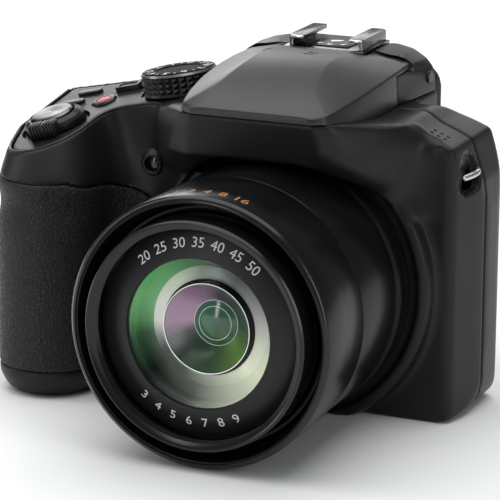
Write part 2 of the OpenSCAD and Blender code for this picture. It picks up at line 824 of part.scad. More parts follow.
module viewfinder_display() {
    color(dark) block([lens_x - 10.5, board_front + board_t + 0.6, finder_z - 7],
        [lens_x + 10.5, hump_back - wall - 0.75, finder_z + 5.5]);
}

module lens_barrel() {
    color(black) turn() polygon([[barrel_bore, barrel_root], [housing_r, barrel_root],
        [housing_r, recess_floor + run_gap], [barrel_r + 0.5, recess_floor + run_gap],
        [barrel_r + 0.5, flange_front - 47.8], [barrel_r, flange_front - 47.4],
        [barrel_r, flange_front - 24.4],
        [barrel_r + 0.4, flange_front - 24], [barrel_r + 0.4, flange_front - 15],
        [flange_r, flange_front - 11.5], [flange_r, flange_front - 0.4], [flange_r - 0.4, flange_front],
        [barrel_bore + 2.2, flange_front], [barrel_bore, flange_front - 7]]);
}

module image_sensor() {
    color(dark) block([lens_x - sensor_half, -barrel_root + 0.2, lens_z - sensor_half],
        [lens_x + sensor_half, chassis_front - seat_gap, lens_z + sensor_half]);
}

module zoom_motor() {
    color(grey) on_rear([lens_x + 29.6, 10], -front_d + wall + 0.5)
        cylinder(r = 4.5, h = chassis_front + front_d - wall - 0.5 - seat_gap);
}

module main_board() {
    color([0.05, 0.3, 0.15]) difference() {
        block([inner_left, board_front, board_low], [inner_right, board_front + board_t, chassis_h - 2]);
        on_rear([lens_x, 12], board_front - 1) cylinder(r = 2, h = board_t + 2);
    }
}

module battery() {
    color(dark) block(battery_at, battery_at + [battery_x, battery_y, battery_z]);
}

module memory_card() {
    color([0.1, 0.15, 0.3]) translate(card_at) difference() {
        cube([card_t, card_d, card_h]);
        translate([-1, -1, card_h - 3]) rotate([45, 0, 0]) cube([card_t + 2, 12, 4]);
    }
}

module flash_capacitor() {
    color(dark) translate([inner_left + 6, chassis_front - capacitor_r - 0.2, 12])
        cylinder(r = capacitor_r, h = 26);
}

module speaker() {
    color(grey) translate([speaker_at[0], speaker_at[1], speaker_top - speaker_h])
        cylinder(r = speaker_r, h = speaker_h);
}

module strap_lugs() {
    color(steel) for (spot = lug_spots)
        translate([spot[0], lug_y + lug_half + 1.2, spot[1]]) rotate([90, 0, 0])
            cylinder(r = lug_r, h = 2 * lug_half + 2.4);
}

module body_screws() {
    color(steel) for (spot = screw_spots)
        translate([spot[0], spot[1], door_sink]) {
            difference() {
                cylinder(r = screw_r, h = 1.2);
                for (turn_by = [0, 90])
                    rotate([0, 0, turn_by]) translate([-1, -0.2, -1]) cube([2, 0.4, 1.6]);
            }
            translate([0, 0, 1.1]) cylinder(r = shank_r, h = shank_h);
        }
}

module assist_lamp() {
    color([0.5, 0.1, 0.08]) on_rear(lamp_at, -front_d - lamp_proud + 0.6) cylinder(r = lamp_r, h = 3.4);
}

module rear_screen() {
    color([0.03, 0.03, 0.035]) translate([screen_at[0], 0, screen_at[1]])
        stand(rear_d - screen_t / 2, rear_d + screen_t / 2) rounded_box(screen_half, screen_h / 2, 2);
}

module flash_pins() {
    color(steel) for (side = [-1, 1])
        translate([lens_x + side * (block_half + 0.5), hinge_y, hinge_z]) rotate([0, 90, 0])
            cylinder(r = hinge_pin_r, h = 11, center = true);
}

module door_pins() {
    color(steel) {
        translate([door_hinge[0], door_hinge_to + 1.8, door_hinge[1]]) rotate([90, 0, 0])
            cylinder(r = door_pin_r, h = door_hinge_to - door_hinge_from + 3.6);
        translate([terminal_hinge[0], terminal_hinge[1], terminal_low - 1.8])
            cylinder(r = door_pin_r, h = terminal_high - terminal_low + 3.6);
    }
}

module terminal_sockets() {
    color(steel) for (z = [terminal_low + 8, terminal_high - 8])
        difference() {
            block([-half_w + 2.6, 6.8, z - 4], [battery_at[0] - 0.6, 11, z + 4]);
            block([-half_w, 7.4, z - 3.3], [-half_w + 5, 10.4, z + 3.3]);
        }
}

module middle_tube() {
    color(black) turn() polygon([[middle_r - tube_t, barrel_root + 1.5], [middle_r, barrel_root + 1.5],
        [middle_r, flange_front - 7.2], [middle_r - tube_t, flange_front - 7.2]]);
}

module front_tube() {
    color(black) turn() polygon([[front_r - tube_t, barrel_root + 3.5], [front_r, barrel_root + 3.5],
        [front_r, tube_front - 0.3], [front_r - 0.3, tube_front], [filter_r + 0.2, tube_front],
        [filter_r, tube_front - 0.2], [filter_r, tube_front - filter_d],
        [filter_r + thread_relief, tube_front - filter_d],
        [filter_r + thread_relief, glass_apex - 4.2], [glass_r + run_gap, glass_apex - 4.2],
        [glass_r + run_gap, glass_apex - 9], [front_r - tube_t, glass_apex - 9]]);
}

module name_ring() {
    color(black) turn() polygon([[filter_r - seat_gap, glass_apex - 4],
        [filter_r - seat_gap, glass_apex - ring_drop], [glass_r - 0.8, glass_apex - 0.1],
        [glass_r - 0.8, glass_apex - 0.6], [glass_r + 0.8, glass_apex - 4]]);
}

module front_lens() {
    color(glassy) on_lens() intersection() {
        translate([0, 0, glass_apex - glass_curve]) sphere(r = glass_curve);
        translate([0, 0, glass_apex - 8.6]) cylinder(r = glass_r, h = 12);
    }
}

// Round cell that slides inside the tubes, with its glass
module lens_cell(front, back, lens_r, dome) {
    turn() polygon([[0, back], [cell_r, back], [cell_r, front], [lens_r + 2, front],
        [lens_r, front + dome / 4], [lens_r * 0.6, front + dome * 0.75], [0, front + dome]]);
}

module zoom_lens() {
    color(glassy) lens_cell(glass_apex - 24, glass_apex - 32, 14, 4);
}

module iris_unit() {
    color(black) turn() polygon([[6, glass_apex - 36], [cell_r, glass_apex - 36], [cell_r, glass_apex - 32],
        [7, glass_apex - 32]]);
}

module focus_lens() {
    color(glassy) lens_cell(barrel_root + 15, barrel_root + 9, 9, 2);
}

module flash_cover() {
    color(dark) difference() {
        intersection() {
            hump_form(0);
            flash_zone();
        }
        difference() {
            intersection() {
                hump_form(flash_wall);
                block([-big, -big, 0], [big, flash_back - flash_wall, big]);
            }
            // Roof of the flash lamp
            block([lens_x - 14, -brow_d + 2, flash_low], [lens_x + 14, -brow_d + 12, hump_h]);
        }
        translate([lens_x, hinge_y, hinge_z]) rotate([0, 90, 0])
            cylinder(r = hinge_pin_r + pin_gap, h = 2 * block_half + 14, center = true);
        // Two pairs of slits over the microphones
        for (side = [-1, 1], row = [0, 1])
            translate([lens_x + side * 7, flash_back - 12 + 1.6 * row, hump_h - 3])
                translate([-1.6, -0.35, 0]) cube([3.2, 0.7, 6]);
    }
}

// Flash lamp housing, folded into the brow with its window facing down and forwards
module flash_lamp() {
    color(steel) stand_side(lens_x - flash_lamp_half, lens_x + flash_lamp_half)
        polygon([[-brow_d + 2.6, flash_low - seat_gap],
        [-brow_d + 2.6, flash_low - 1.4], [-brow_d + 7.8, recess_high + 4.2],
        [-brow_d + 11.5, recess_high + 4.2], [-brow_d + 11.5, flash_low - seat_gap]]);
}

module flash_window() {
    color([0.8, 0.8, 0.82]) stand_side(lens_x - flash_lamp_half, lens_x + flash_lamp_half)
        polygon([[-brow_d + 2.6, flash_low - 1.5], [-brow_d + 2.6, flash_low - 2.6],
            [-brow_d + 7.4, recess_high + 3.2], [-brow_d + 7.8, recess_high + 4]]);
}

module flash_release() {
    color(dark) translate([lens_x + hump_half - 5.4, release_at[0], release_at[1]]) rotate([0, 90, 0])
        cylinder(r = release_r, h = release_len);
}

module shutter_button() {
    color(grey) on_deck([deck_x, deck_y]) {
        translate([0, 0, cap_low]) cylinder(r = shutter_r, h = 3.7 - cap_low);
        translate([0, 0, 3.7]) cylinder(r1 = shutter_r, r2 = shutter_r - 0.6, h = 0.3);
        translate([0, 0, -stem_d]) cylinder(r = stem_r, h = stem_d + cap_low + 0.1);
    }
}

module zoom_lever() {
    color(black) on_deck([deck_x, deck_y]) translate([0, 0, -1 + run_gap]) difference() {
        union() {
            cylinder(r = lever_r, h = lever_h);
            translate([-tab_w / 2, -lever_r - tab_reach, 1.2]) cube([tab_w, 6, lever_h - 1.2]);
        }
        translate([0, 0, -1]) cylinder(r = shutter_r + run_gap + 0.1, h = lever_h + 2);
    }
}

module record_button() {
    color(dark) on_deck(record_at) {
        translate([0, 0, -deck_t - 1.2]) cylinder(r = record_r, h = deck_t + 1.4 + press);
        translate([0, 0, -deck_t - 1.6]) cylinder(r = record_r + 1, h = 1.3);
    }
}

module bar_button(at) {
    color(dark) on_deck(at) {
        translate([0, 0, -deck_t - 1.2]) linear_extrude(deck_t + 1.4 + press) bar_shape(0);
        translate([0, 0, -deck_t - 1.6]) linear_extrude(1.3) bar_shape(0.8);
    }
}

module burst_button() {
    bar_button(burst_at);
}

module focus_button() {
    bar_button(focus_at);
}

module mode_dial() {
    color(black) on_dial() {
        cylinder(r = dial_r, h = dial_h - 0.5);
        translate([0, 0, dial_h - 0.5]) cylinder(r1 = dial_r, r2 = dial_r - 0.5, h = 0.5);
        translate([0, 0, -5]) cylinder(r = dial_stem_r, h = 6);
    }
}

module power_switch() {
    color(dark) on_deck(switch_at) translate([-switch_travel / 2, 0, 0]) {
        translate([0, 0, -deck_t - 1]) linear_extrude(deck_t + 2.4) square(switch_size, center = true);
        translate([0, 0, -deck_t - 2.2]) linear_extrude(1.3)
            square(switch_size + [1.6, 0.6], center = true);
    }
}

module rear_dial() {
    color(black) translate([wheel_at[0], wheel_y, wheel_at[1]]) {
        translate([0, 0, -wheel_t / 2]) cylinder(r = wheel_r, h = wheel_t);
        cylinder(r = axle_r, h = wheel_t + 2 * axle_reach - 1, center = true);
    }
}

module diopter_dial() {
    color(black) translate([lens_x + finder_half + run_gap, diopter_at[0], diopter_at[1]])
        rotate([0, 90, 0]) {
            cylinder(r = diopter_r, h = diopter_t);
            translate([0, 0, -3]) cylinder(r = diopter_stem_r, h = 4);
        }
}

module cursor_pad() {
    color(black) on_rear(pad_at, button_front) difference() {
        cylinder(r = pad_r, h = button_back - button_front);
        translate([0, 0, -1]) cylinder(r = set_r + run_gap, h = 10);
    }
}

module set_button() {
    color(black) on_rear(pad_at, button_front) cylinder(r = set_r, h = button_back - button_front + 0.2);
}

module rear_button(at) {
    color(black) on_rear(at, button_front) cylinder(r = button_r, h = button_back - button_front);
}

module play_button() {
    rear_button(play_at);
}

module menu_button() {
    rear_button(menu_at);
}

module display_button() {
    rear_button(display_at);
}

module view_button() {
    rear_button(view_at);
}

module lock_button() {
    rear_button(lock_at);
}

module battery_door() {
    color(black) difference() {
        union() {
            translate([0, 0, door_sink]) linear_extrude(door_t) door_plan(0);
            translate([door_hinge[0], door_hinge_to, door_hinge[1]]) rotate([90, 0, 0])
                cylinder(r = knuckle_r, h = door_hinge_to - door_hinge_from);
            block([door_right - 1, door_hinge_from, door_hinge[1] - link_half],
                [door_hinge[0], door_hinge_to, door_hinge[1] + link_half]);
        }
        translate([door_hinge[0], big / 2, door_hinge[1]]) rotate([90, 0, 0])
            cylinder(r = door_pin_r + pin_gap, h = big);
        block([latch_at[0] - run_gap, latch_at[1] - run_gap, -1],
            [latch_at[0] + latch_size[0] + latch_travel + run_gap,
                latch_at[1] + latch_size[1] + run_gap, door_sink + latch_size[2] + run_gap]);
    }
}

module door_latch() {
    color(dark) block([latch_at[0], latch_at[1], door_sink],
        [latch_at[0] + latch_size[0], latch_at[1] + latch_size[1], door_sink + latch_size[2]]);
}

module terminal_door() {
    color(black) difference() {
        union() {
            block([-half_w, terminal_front, terminal_low],
                [-half_w + terminal_t, terminal_hinge[1], terminal_high]);
            translate([terminal_hinge[0], terminal_hinge[1], terminal_low])
                cylinder(r = knuckle_r, h = terminal_high - terminal_low);
        }
        translate([terminal_hinge[0], terminal_hinge[1], 0]) cylinder(r = door_pin_r + pin_gap, h = big);
    }
}

front_cover();
rear_cover();
top_cover();
hump_cover();
base_plate();
grip_rubber();
thumb_rest();
chassis();
hot_shoe();
shoe_contacts();
eyepiece_lens();
eyecup();
viewfinder_display();
lens_barrel();
image_sensor();
zoom_motor();
main_board();
battery();
memory_card();
flash_capacitor();
speaker();
tripod_bush();
strap_lugs();
body_screws();
assist_lamp();
rear_screen();
flash_pins();
door_pins();
terminal_sockets();
middle_tube();
front_tube();
name_ring();
front_lens();
zoom_lens();
iris_unit();
focus_lens();
flash_cover();
flash_window();
flash_lamp();
flash_release();
shutter_button();
zoom_lever();
record_button();
burst_button();
focus_button();
mode_dial();
power_switch();
rear_dial();
diopter_dial();
cursor_pad();
set_button();
play_button();
menu_button();
display_button();
view_button();
lock_button();
battery_door();
door_latch();
terminal_door();
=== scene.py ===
"""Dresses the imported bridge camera: moulded shells, leathered grip, coated lens and controls.

Sizes are millimetres in the part's own frame: the lens looks along -Y, +Z is up, and the origin is the mouth
of the tripod socket. Meshes are worked in millimetres and scaled to metres as they are placed.
"""

import json
import logging
import math
from collections.abc import Callable, Iterable, Sequence
from dataclasses import dataclass, field
from enum import Enum

import bmesh
import bpy
from mathutils import Matrix, Vector

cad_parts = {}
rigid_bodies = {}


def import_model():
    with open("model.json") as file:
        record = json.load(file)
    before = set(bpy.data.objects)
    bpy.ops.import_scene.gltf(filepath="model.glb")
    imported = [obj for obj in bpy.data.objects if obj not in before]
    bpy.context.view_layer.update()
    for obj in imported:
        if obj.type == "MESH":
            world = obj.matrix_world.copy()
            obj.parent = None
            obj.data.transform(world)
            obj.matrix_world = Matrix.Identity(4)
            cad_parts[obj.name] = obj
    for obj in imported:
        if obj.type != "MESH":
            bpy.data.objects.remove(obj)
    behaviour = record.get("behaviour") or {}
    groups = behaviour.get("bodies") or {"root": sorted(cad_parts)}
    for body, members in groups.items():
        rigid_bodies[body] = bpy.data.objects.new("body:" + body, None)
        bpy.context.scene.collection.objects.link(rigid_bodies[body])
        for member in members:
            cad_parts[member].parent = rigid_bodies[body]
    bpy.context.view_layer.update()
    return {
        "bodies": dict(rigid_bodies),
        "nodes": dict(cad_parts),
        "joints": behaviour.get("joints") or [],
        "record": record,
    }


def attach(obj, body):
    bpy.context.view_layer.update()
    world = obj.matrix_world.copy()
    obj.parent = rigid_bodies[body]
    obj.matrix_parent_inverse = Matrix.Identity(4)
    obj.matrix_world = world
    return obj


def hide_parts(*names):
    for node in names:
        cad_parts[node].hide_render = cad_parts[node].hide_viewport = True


LOG = logging.getLogger("camera")
MM = 0.001
FAR = 200.0

Point = tuple[float, float, float]
Flat = tuple[float, float]


# Places on the camera


@dataclass(frozen=True)
class Layout:
    """The places that several sub-assemblies share."""

    lens_x: float = 16.4
    lens_z: float = 35.2
    deck_at: Point = (-51.0, -13.0, 69.3)
    deck_pitch: float = 12.0
    deck_roll: float = 14.0
    dial_at: Point = (-20.6, 1.0, 78.3)
    dial_lean: float = 9.0
    hump_left: float = -9.6
    hump_x: float = 15.0

    def lens_spot(self) -> Matrix:
        """Returns the lens axis, with local +Z pointing forwards."""
        return Matrix.Translation((self.lens_x, 0, self.lens_z)) @ Matrix.Rotation(math.radians(90), 4, "X")

    def deck_height(self, x: float, y: float) -> float:
        """Gives the height of the sloping deck.

        Args:
            x: place across.
            y: place along.

        Returns:
            Height of the deck's plane there.
        """
        pitch, roll = math.radians(self.deck_pitch), math.radians(self.deck_roll)
        across, along = x - self.deck_at[0], y - self.deck_at[1]
        rise = math.cos(pitch) * math.sin(roll) * across + math.sin(pitch) * along
        return self.deck_at[2] + rise / (math.cos(pitch) * math.cos(roll))

    def deck_spot(self, x: float, y: float) -> Matrix:
        """Gives a place on the deck, with local +Z square to it.

        Args:
            x: place across.
            y: place along.

        Returns:
            Matrix of that place.
        """
        turn = Matrix.Rotation(math.radians(-self.deck_roll), 4, "Y") @ Matrix.Rotation(
            math.radians(self.deck_pitch), 4, "X"
        )
        return Matrix.Translation((x, y, self.deck_height(x, y))) @ turn

    def dial_spot(self) -> Matrix:
        """Returns the mode dial's underside, with local +Z along its axis."""
        return Matrix.Translation(self.dial_at) @ Matrix.Rotation(math.radians(-self.dial_lean), 4, "Y")

    @staticmethod
    def rear_spot(x: float, z: float, y: float) -> Matrix:
        """Returns a place on the back at x, y, z, with local +Z pointing to the rear."""
        return Matrix.Translation((x, y, z)) @ Matrix.Rotation(math.radians(-90), 4, "X")

    @staticmethod
    def side_spot(x: float, y: float, z: float) -> Matrix:
        """Returns a place on the lens side, with local +Z pointing along +X."""
        return Matrix.Translation((x, y, z)) @ Matrix.Rotation(math.radians(90), 4, "Y")


LAYOUT = Layout()


# Mesh work


class Plane(Enum):
    """The plane that a flat outline is drawn in."""

    PLAN = "plan"
    FRONT = "front"
    SIDE = "side"

    def point(self, across: float, up: float, along: float) -> Point:
        """Returns the point of an outline at a place along the drawing-out direction."""
        if self is Plane.PLAN:
            return (across, up, along)
        if self is Plane.FRONT:
            return (across, along, up)
        return (along, across, up)


class Solid:
    """A closed mesh in millimetres that is cut, joined and rounded."""

    def __init__(self, mesh: bpy.types.Mesh) -> None:
        """Keeps the mesh to work on."""
        self.mesh = mesh

    @classmethod
    def shaped(cls, bm: bmesh.types.BMesh, merge: float = 1e-4) -> "Solid":
        """Closes a bmesh into a solid.

        Args:
            bm: the finished shape, which is freed.
            merge: distance within which vertices are one.

        Returns:
            The solid, with its faces pointing outwards.
        """
        bmesh.ops.remove_doubles(bm, verts=bm.verts, dist=merge)
        bmesh.ops.recalc_face_normals(bm, faces=bm.faces)
        mesh = bpy.data.meshes.new("solid")
        bm.to_mesh(mesh)
        bm.free()
        return cls(mesh)

    @classmethod
    def prism(
        cls, outline: Sequence[Flat], low: float, high: float, plane: Plane, radius: float = 0, steps: int = 6
    ) -> "Solid":
        """Draws a flat outline out into a solid.

        Args:
            outline: corners in the plane.
            low: where the solid starts along the third direction.
            high: where it ends.
            plane: the outline's plane.
            radius: rounding of every corner.
            steps: segments of each rounding.

        Returns:
            The solid.
        """
        bm = bmesh.new()
        face = bm.faces.new([bm.verts.new(plane.point(u, v, low)) for u, v in outline])
        if radius:
            bmesh.ops.bevel(
                bm, geom=list(bm.verts), offset=radius, segments=steps, profile=0.5, affect="VERTICES",
                material=-1
            )
            face = next(iter(bm.faces))
        drawn = bmesh.ops.extrude_face_region(bm, geom=[face], use_keep_orig=True)
        tops = [v for v in drawn["geom"] if isinstance(v, bmesh.types.BMVert)]
        bmesh.ops.translate(bm, verts=tops, vec=plane.point(0, 0, high - low))
        return cls.shaped(bm)

    @classmethod
    def hull(
        cls, points: Iterable[Point] = (), discs: Iterable[tuple[float, float, float, float]] = ()
    ) -> "Solid":
        """Wraps points and level discs in their convex hull.

        Args:
            points: corners.
            discs: x, y, z and radius of each disc.

        Returns:
            The solid, with its flat faces whole.
        """
        bm = bmesh.new()
        for point in points:
            bm.verts.new(point)
        for x, y, z, radius in discs:
            bmesh.ops.create_circle(bm, radius=radius, segments=48, matrix=Matrix.Translation((x, y, z)))
        bmesh.ops.convex_hull(bm, input=bm.verts)
        loose = [v for v in bm.verts if not v.link_faces]
        bmesh.ops.delete(bm, geom=loose, context="VERTS")
        bmesh.ops.dissolve_limit(bm, angle_limit=math.radians(0.5), verts=bm.verts, edges=bm.edges)
        return cls.shaped(bm)

    @classmethod
    def lofted(cls, loops: Sequence[Sequence[Point]]) -> "Solid":
        """Draws a skin over closed loops of as many points each, with its ends closed.

        Args:
            loops: the loops, in order.

        Returns:
            The solid.
        """
        bm = bmesh.new()
        rows = [[bm.verts.new(point) for point in loop] for loop in loops]
        for row, after in zip(rows, rows[1:]):
            for i in range(len(row)):
                bm.faces.new((row[i - 1], row[i], after[i], after[i - 1]))
        for row in (rows[0], rows[-1]):
            bm.faces.new(row)
        return cls.shaped(bm)

    @classmethod
    def turned(cls, profile: Sequence[Flat], spot: Matrix, steps: int = 128, soften: float = 0) -> "Solid":
        """Spins a profile round a spot's axis.

        Args:
            profile: radius and height of each corner, in order.
            spot: where the axis stands.
            steps: segments of the turn.
            soften: rounding of the sharp rings.

        Returns:
            The solid.
        """
        bm = bmesh.new()
        corners = [bm.verts.new((r, 0, h)) for r, h in profile]
        closed = profile[0][0] > 0 or profile[-1][0] > 0
        ends = corners[1:] + ([corners[0]] if closed else [])
        edges = [bm.edges.new(pair) for pair in zip(corners, ends)]
        bmesh.ops.spin(
            bm, geom=corners + edges, cent=(
                0, 0, 0
            ), axis=(0, 0, 1), angle=math.tau, steps=steps, use_merge=True
        )
        bmesh.ops.transform(bm, matrix=spot, verts=bm.verts)
        solid = cls.shaped(bm)
        return solid.bevelled(soften, 2, 24) if soften else solid

    @classmethod
    def drum(
        cls, spot: Matrix, radius: float, low: float, high: float, tip: float | None = None, steps: int = 64
    ) -> "Solid":
        """Makes a plain drum or cone to cut or build with.

        Args:
            spot: where its axis stands.
            radius: radius at the low end.
            low: start along the axis.
            high: end along the axis.
            tip: radius at the high end, if it differs.
            steps: sides.

        Returns:
            The solid.
        """
        bm = bmesh.new()
        place = spot @ Matrix.Translation((0, 0, (low + high) / 2))
        bmesh.ops.create_cone(
            bm, cap_ends=True, segments=steps, radius1=radius, radius2=radius if tip is None else tip,
            depth=high - low, matrix=place,
        )
        return cls.shaped(bm)

    @classmethod
    def box(cls, low: Point, high: Point, spot: Matrix = Matrix.Identity(4)) -> "Solid":
        """Makes a box between two corners of a spot's frame.

        Args:
            low: lowest corner.
            high: highest corner.
            spot: the frame.

        Returns:
            The solid.
        """
        bm = bmesh.new()
        middle = (Vector(low) + Vector(high)) / 2
        size = Matrix.Diagonal((Vector(high) - Vector(low)).to_4d())
        bmesh.ops.create_cube(bm, size=1, matrix=spot @ Matrix.Translation(middle) @ size)
        return cls.shaped(bm)

    @classmethod
    def printed(cls, text: str, height: float, spot: Matrix) -> "Solid":
        """Makes thin printed figures.

        Args:
            text: the figures.
            height: size of a figure.
            spot: their middle, with local +Z out of the surface.

        Returns:
            A slab as thin as paint.
        """
        curve = bpy.data.curves.new("figures", "FONT")
        curve.body, curve.size, curve.extrude = text, height * 1.4, 0.02
        curve.align_x, curve.align_y, curve.resolution_u = "CENTER", "CENTER", 4
        obj = bpy.data.objects.new("figures", curve)
        mesh = bpy.data.meshes.new_from_object(obj)
        bpy.data.objects.remove(obj)
        bpy.data.curves.remove(curve)
        mesh.transform(spot)
        return cls(mesh)

    def copy(self) -> "Solid":
        """Returns a solid of its own with the same shape."""
        return Solid(self.mesh.copy())

    def moved(self, matrix: Matrix) -> "Solid":
        """Returns this solid after a move."""
        self.mesh.transform(matrix)
        return self

    def reshaped(self, work: Callable[[bmesh.types.BMesh], None]) -> "Solid":
        """Runs bmesh work on the mesh.

        Args:
            work: what is done to the bmesh.

        Returns:
            This solid.
        """
        bm = bmesh.new()
        bm.from_mesh(self.mesh)
        work(bm)
        bm.to_mesh(self.mesh)
        bm.free()
        return self

    def bevelled(self, width: float, segments: int = 3, angle: float = 30) -> "Solid":
        """Rounds the sharp edges.

        Args:
            width: width of the rounding.
            segments: its segments.
            angle: least angle between faces, in degrees, of an edge that is rounded.

        Returns:
            This solid.
        """

        def work(bm: bmesh.types.BMesh) -> None:
            """Bevels every edge that is sharper than the angle."""
            sharp = [
                e for e in bm.edges if len(e.link_faces) == 2 and e.calc_face_angle(0) > math.radians(angle)
            ]
            bmesh.ops.bevel(
                bm, geom=sharp, offset=width, segments=segments, profile=0.5, affect="EDGES", material=-1,
                clamp_overlap=True,
            )

        return self.reshaped(work)

    def modified(self, kind: str, **settings: object) -> "Solid":
        """Runs one modifier and keeps its result.

        Args:
            kind: Blender's name of the modifier.
            settings: its settings.

        Returns:
            This solid.
        """
        obj = bpy.data.objects.new("work", self.mesh)
        bpy.context.scene.collection.objects.link(obj)
        modifier = obj.modifiers.new(kind, kind)
        for name, value in settings.items():
            setattr(modifier, name, value)
        graph = bpy.context.evaluated_depsgraph_get()
        result = bpy.data.meshes.new_from_object(obj.evaluated_get(graph))
        bpy.data.objects.remove(obj)
        bpy.data.meshes.remove(self.mesh)
        self.mesh = result
        return self

    def combined(self, tool: "Solid", how: str, solver: str) -> "Solid":
        """Runs one boolean and drops the tool.

        Args:
            tool: the other solid.
            how: Blender's name of the operation.
            solver: Blender's name of the solver.

        Returns:
            This solid.
        """
        obj = bpy.data.objects.new("tool", tool.mesh)
        bpy.context.scene.collection.objects.link(obj)
        self.modified("BOOLEAN", operation=how, object=obj, solver=solver)
        bpy.data.objects.remove(obj)
        bpy.data.meshes.remove(tool.mesh)
        return self

    def cut(self, *tools: "Solid", solver: str = "MANIFOLD") -> "Solid":
        """Takes tools away from this solid and returns it."""
        for tool in tools:
            self.combined(tool, "DIFFERENCE", solver)
        return self

    def meet(self, *tools: "Solid", solver: str = "MANIFOLD") -> "Solid":
        """Keeps what this solid shares with each tool and returns it."""
        for tool in tools:
            self.combined(tool, "INTERSECT", solver)
        return self

    def join(self, *others: "Solid", solver: str = "MANIFOLD") -> "Solid":
        """Fuses other solids to this one and returns it."""
        for other in others:
            self.combined(other, "UNION", solver)
        return self

    def heap(self, *others: "Solid") -> "Solid":
        """Adds other meshes loose to this one and returns it."""
        for other in others:
            self.reshaped(lambda bm, mesh=other.mesh: bm.from_mesh(mesh))
            bpy.data.meshes.remove(other.mesh)
        return self

    def melted(self, voxel: float, rounds: int) -> "Solid":
        """Remeshes the solid evenly and rounds every edge.

        Args:
            voxel: size of the new faces.
            rounds: rounds of smoothing.

        Returns:
            This solid.
        """
        self.modified("REMESH", mode="VOXEL", voxel_size=voxel, use_smooth_shade=True)
        return self.modified("SMOOTH", factor=0.5, iterations=rounds)

    def grown(self, distance: float) -> "Solid":
        """Moves the surface outwards, or inwards where the distance is negative, and returns the solid."""
        return self.modified("DISPLACE", direction="NORMAL", strength=distance, mid_level=0)

    def softened(self, low: Point, high: Point, rounds: int) -> "Solid":
        """Blends the creases in one region.

        Args:
            low: lowest corner of the region.
            high: its highest corner.
            rounds: rounds of smoothing.

        Returns:
            This solid.
        """

        def work(bm: bmesh.types.BMesh) -> None:
            """Smooths every vertex of the region."""
            verts = [v for v in bm.verts if all(a < c < b for a, c, b in zip(low, v.co, high))]
            for _ in range(rounds):
                bmesh.ops.smooth_vert(
                    bm, verts=verts, factor=0.5, use_axis_x=True, use_axis_y=True, use_axis_z=True
                )

        return self.reshaped(work)

    def traced(self, spot: Matrix, keep: Callable[[Vector], bool], rounds: int = 40) -> list[Vector]:
        """Follows the line where a plane crosses this solid.

        Args:
            spot: a place on the plane, with local +Z square to it.
            keep: tells which points count.
            rounds: rounds of smoothing.

        Returns:
            Points along the line, in order.
        """
        bm = bmesh.new()
        bm.from_mesh(self.mesh)
        geom = [*bm.verts, *bm.edges, *bm.faces]
        square = spot.to_3x3().col[2]
        cut = bmesh.ops.bisect_plane(bm, geom=geom, plane_co=spot.translation, plane_no=square)["geom_cut"]
        links: dict[int, list[int]] = {}
        places: dict[int, Vector] = {}
        bm.verts.index_update()
        for edge in cut:
            if isinstance(edge, bmesh.types.BMEdge) and all(keep(v.co) for v in edge.verts):
                first, last = edge.verts
                links.setdefault(first.index, []).append(last.index)
                links.setdefault(last.index, []).append(first.index)
                places |= {v.index: v.co.copy() for v in edge.verts}
        bm.free()
        best: list[int] = []
        for start in [i for i, near in links.items() if len(near) == 1]:
            walk, seen = [start], {start}
            while ahead := [i for i in links[walk[-1]] if i not in seen]:
                walk.append(ahead[0])
                seen.add(ahead[0])
            best = max(best, walk, key=len)
        line = [places[i] for i in best]
        for _ in range(rounds):
            line[1:-1] = [(a + b * 2 + c) / 4 for a, b, c in zip(line, line[1:], line[2:])]
        return line[::2]

    @classmethod
    def bead(cls, line: Sequence[Vector], square: Vector, radius: float) -> "Solid":
        """Lays a round bead along a flat line.

        Args:
            line: points of the line.
            square: direction square to the line's plane.
            radius: radius of the bead.

        Returns:
            The bead.
        """
        loops = []
        for i, point in enumerate(line):
            along = (line[min(i + 1, len(line) - 1)] - line[max(i - 1, 0)]).normalized()
            across = along.cross(square)
            turns = [math.tau * k / 12 for k in range(12)]
            loops.append([point + (across * math.cos(a) + square * math.sin(a)) * radius for a in turns])
        return cls.lofted(loops)

    def thinned(self, share: float) -> "Solid":
        """Keeps a share of the faces and returns the solid."""
        return self.modified("DECIMATE", ratio=share, use_collapse_triangulate=True)


# Finishes


class Graph:
    """Adds and joins the nodes of one material or node group."""

    def __init__(self, tree: bpy.types.NodeTree) -> None:
        """Starts with an empty tree."""
        self.tree = tree
        tree.nodes.clear()

    def add(self, kind: str, inputs: dict | None = None, **settings: object) -> bpy.types.Node:
        """Adds one node.

        Args:
            kind: Blender's name of the node.
            inputs: a value or an output socket for each input.
            settings: the node's own settings.

        Returns:
            The node.
        """
        node = self.tree.nodes.new(kind)
        for name, value in settings.items():
            setattr(node, name, value)
        for name, value in (inputs or {}).items():
            if isinstance(value, bpy.types.NodeSocket):
                self.tree.links.new(value, node.inputs[name])
            else:
                node.inputs[name].default_value = value
        return node

    def math(
        self, how: str, first: object, second: object = 0.0, clamp: bool = False
    ) -> bpy.types.NodeSocket:
        """Adds a Math node.

        Args:
            how: the operation.
            first: its first value or socket.
            second: its second value or socket.
            clamp: whether the result stays between 0 and 1.

        Returns:
            The result's socket.
        """
        return self.add("ShaderNodeMath", {0: first, 1: second}, operation=how, use_clamp=clamp).outputs[0]

    def span(
        self, value: object, low: float, high: float, new_low: float, new_high: float
    ) -> bpy.types.NodeSocket:
        """Adds a Map Range node and returns its result's socket."""
        names = ("Value", "From Min", "From Max", "To Min", "To Max")
        return self.add(
            "ShaderNodeMapRange", dict(zip(names, (value, low, high, new_low, new_high)))
        ).outputs[0]

    def tint(self, share: object, first: tuple, second: tuple) -> bpy.types.NodeSocket:
        """Adds a colour mix and returns its result's socket."""
        node = self.add("ShaderNodeMix", data_type="RGBA")
        node.inputs[6].default_value, node.inputs[7].default_value = (*first, 1), (*second, 1)
        self.tree.links.new(share, node.inputs[0])
        return node.outputs[2]


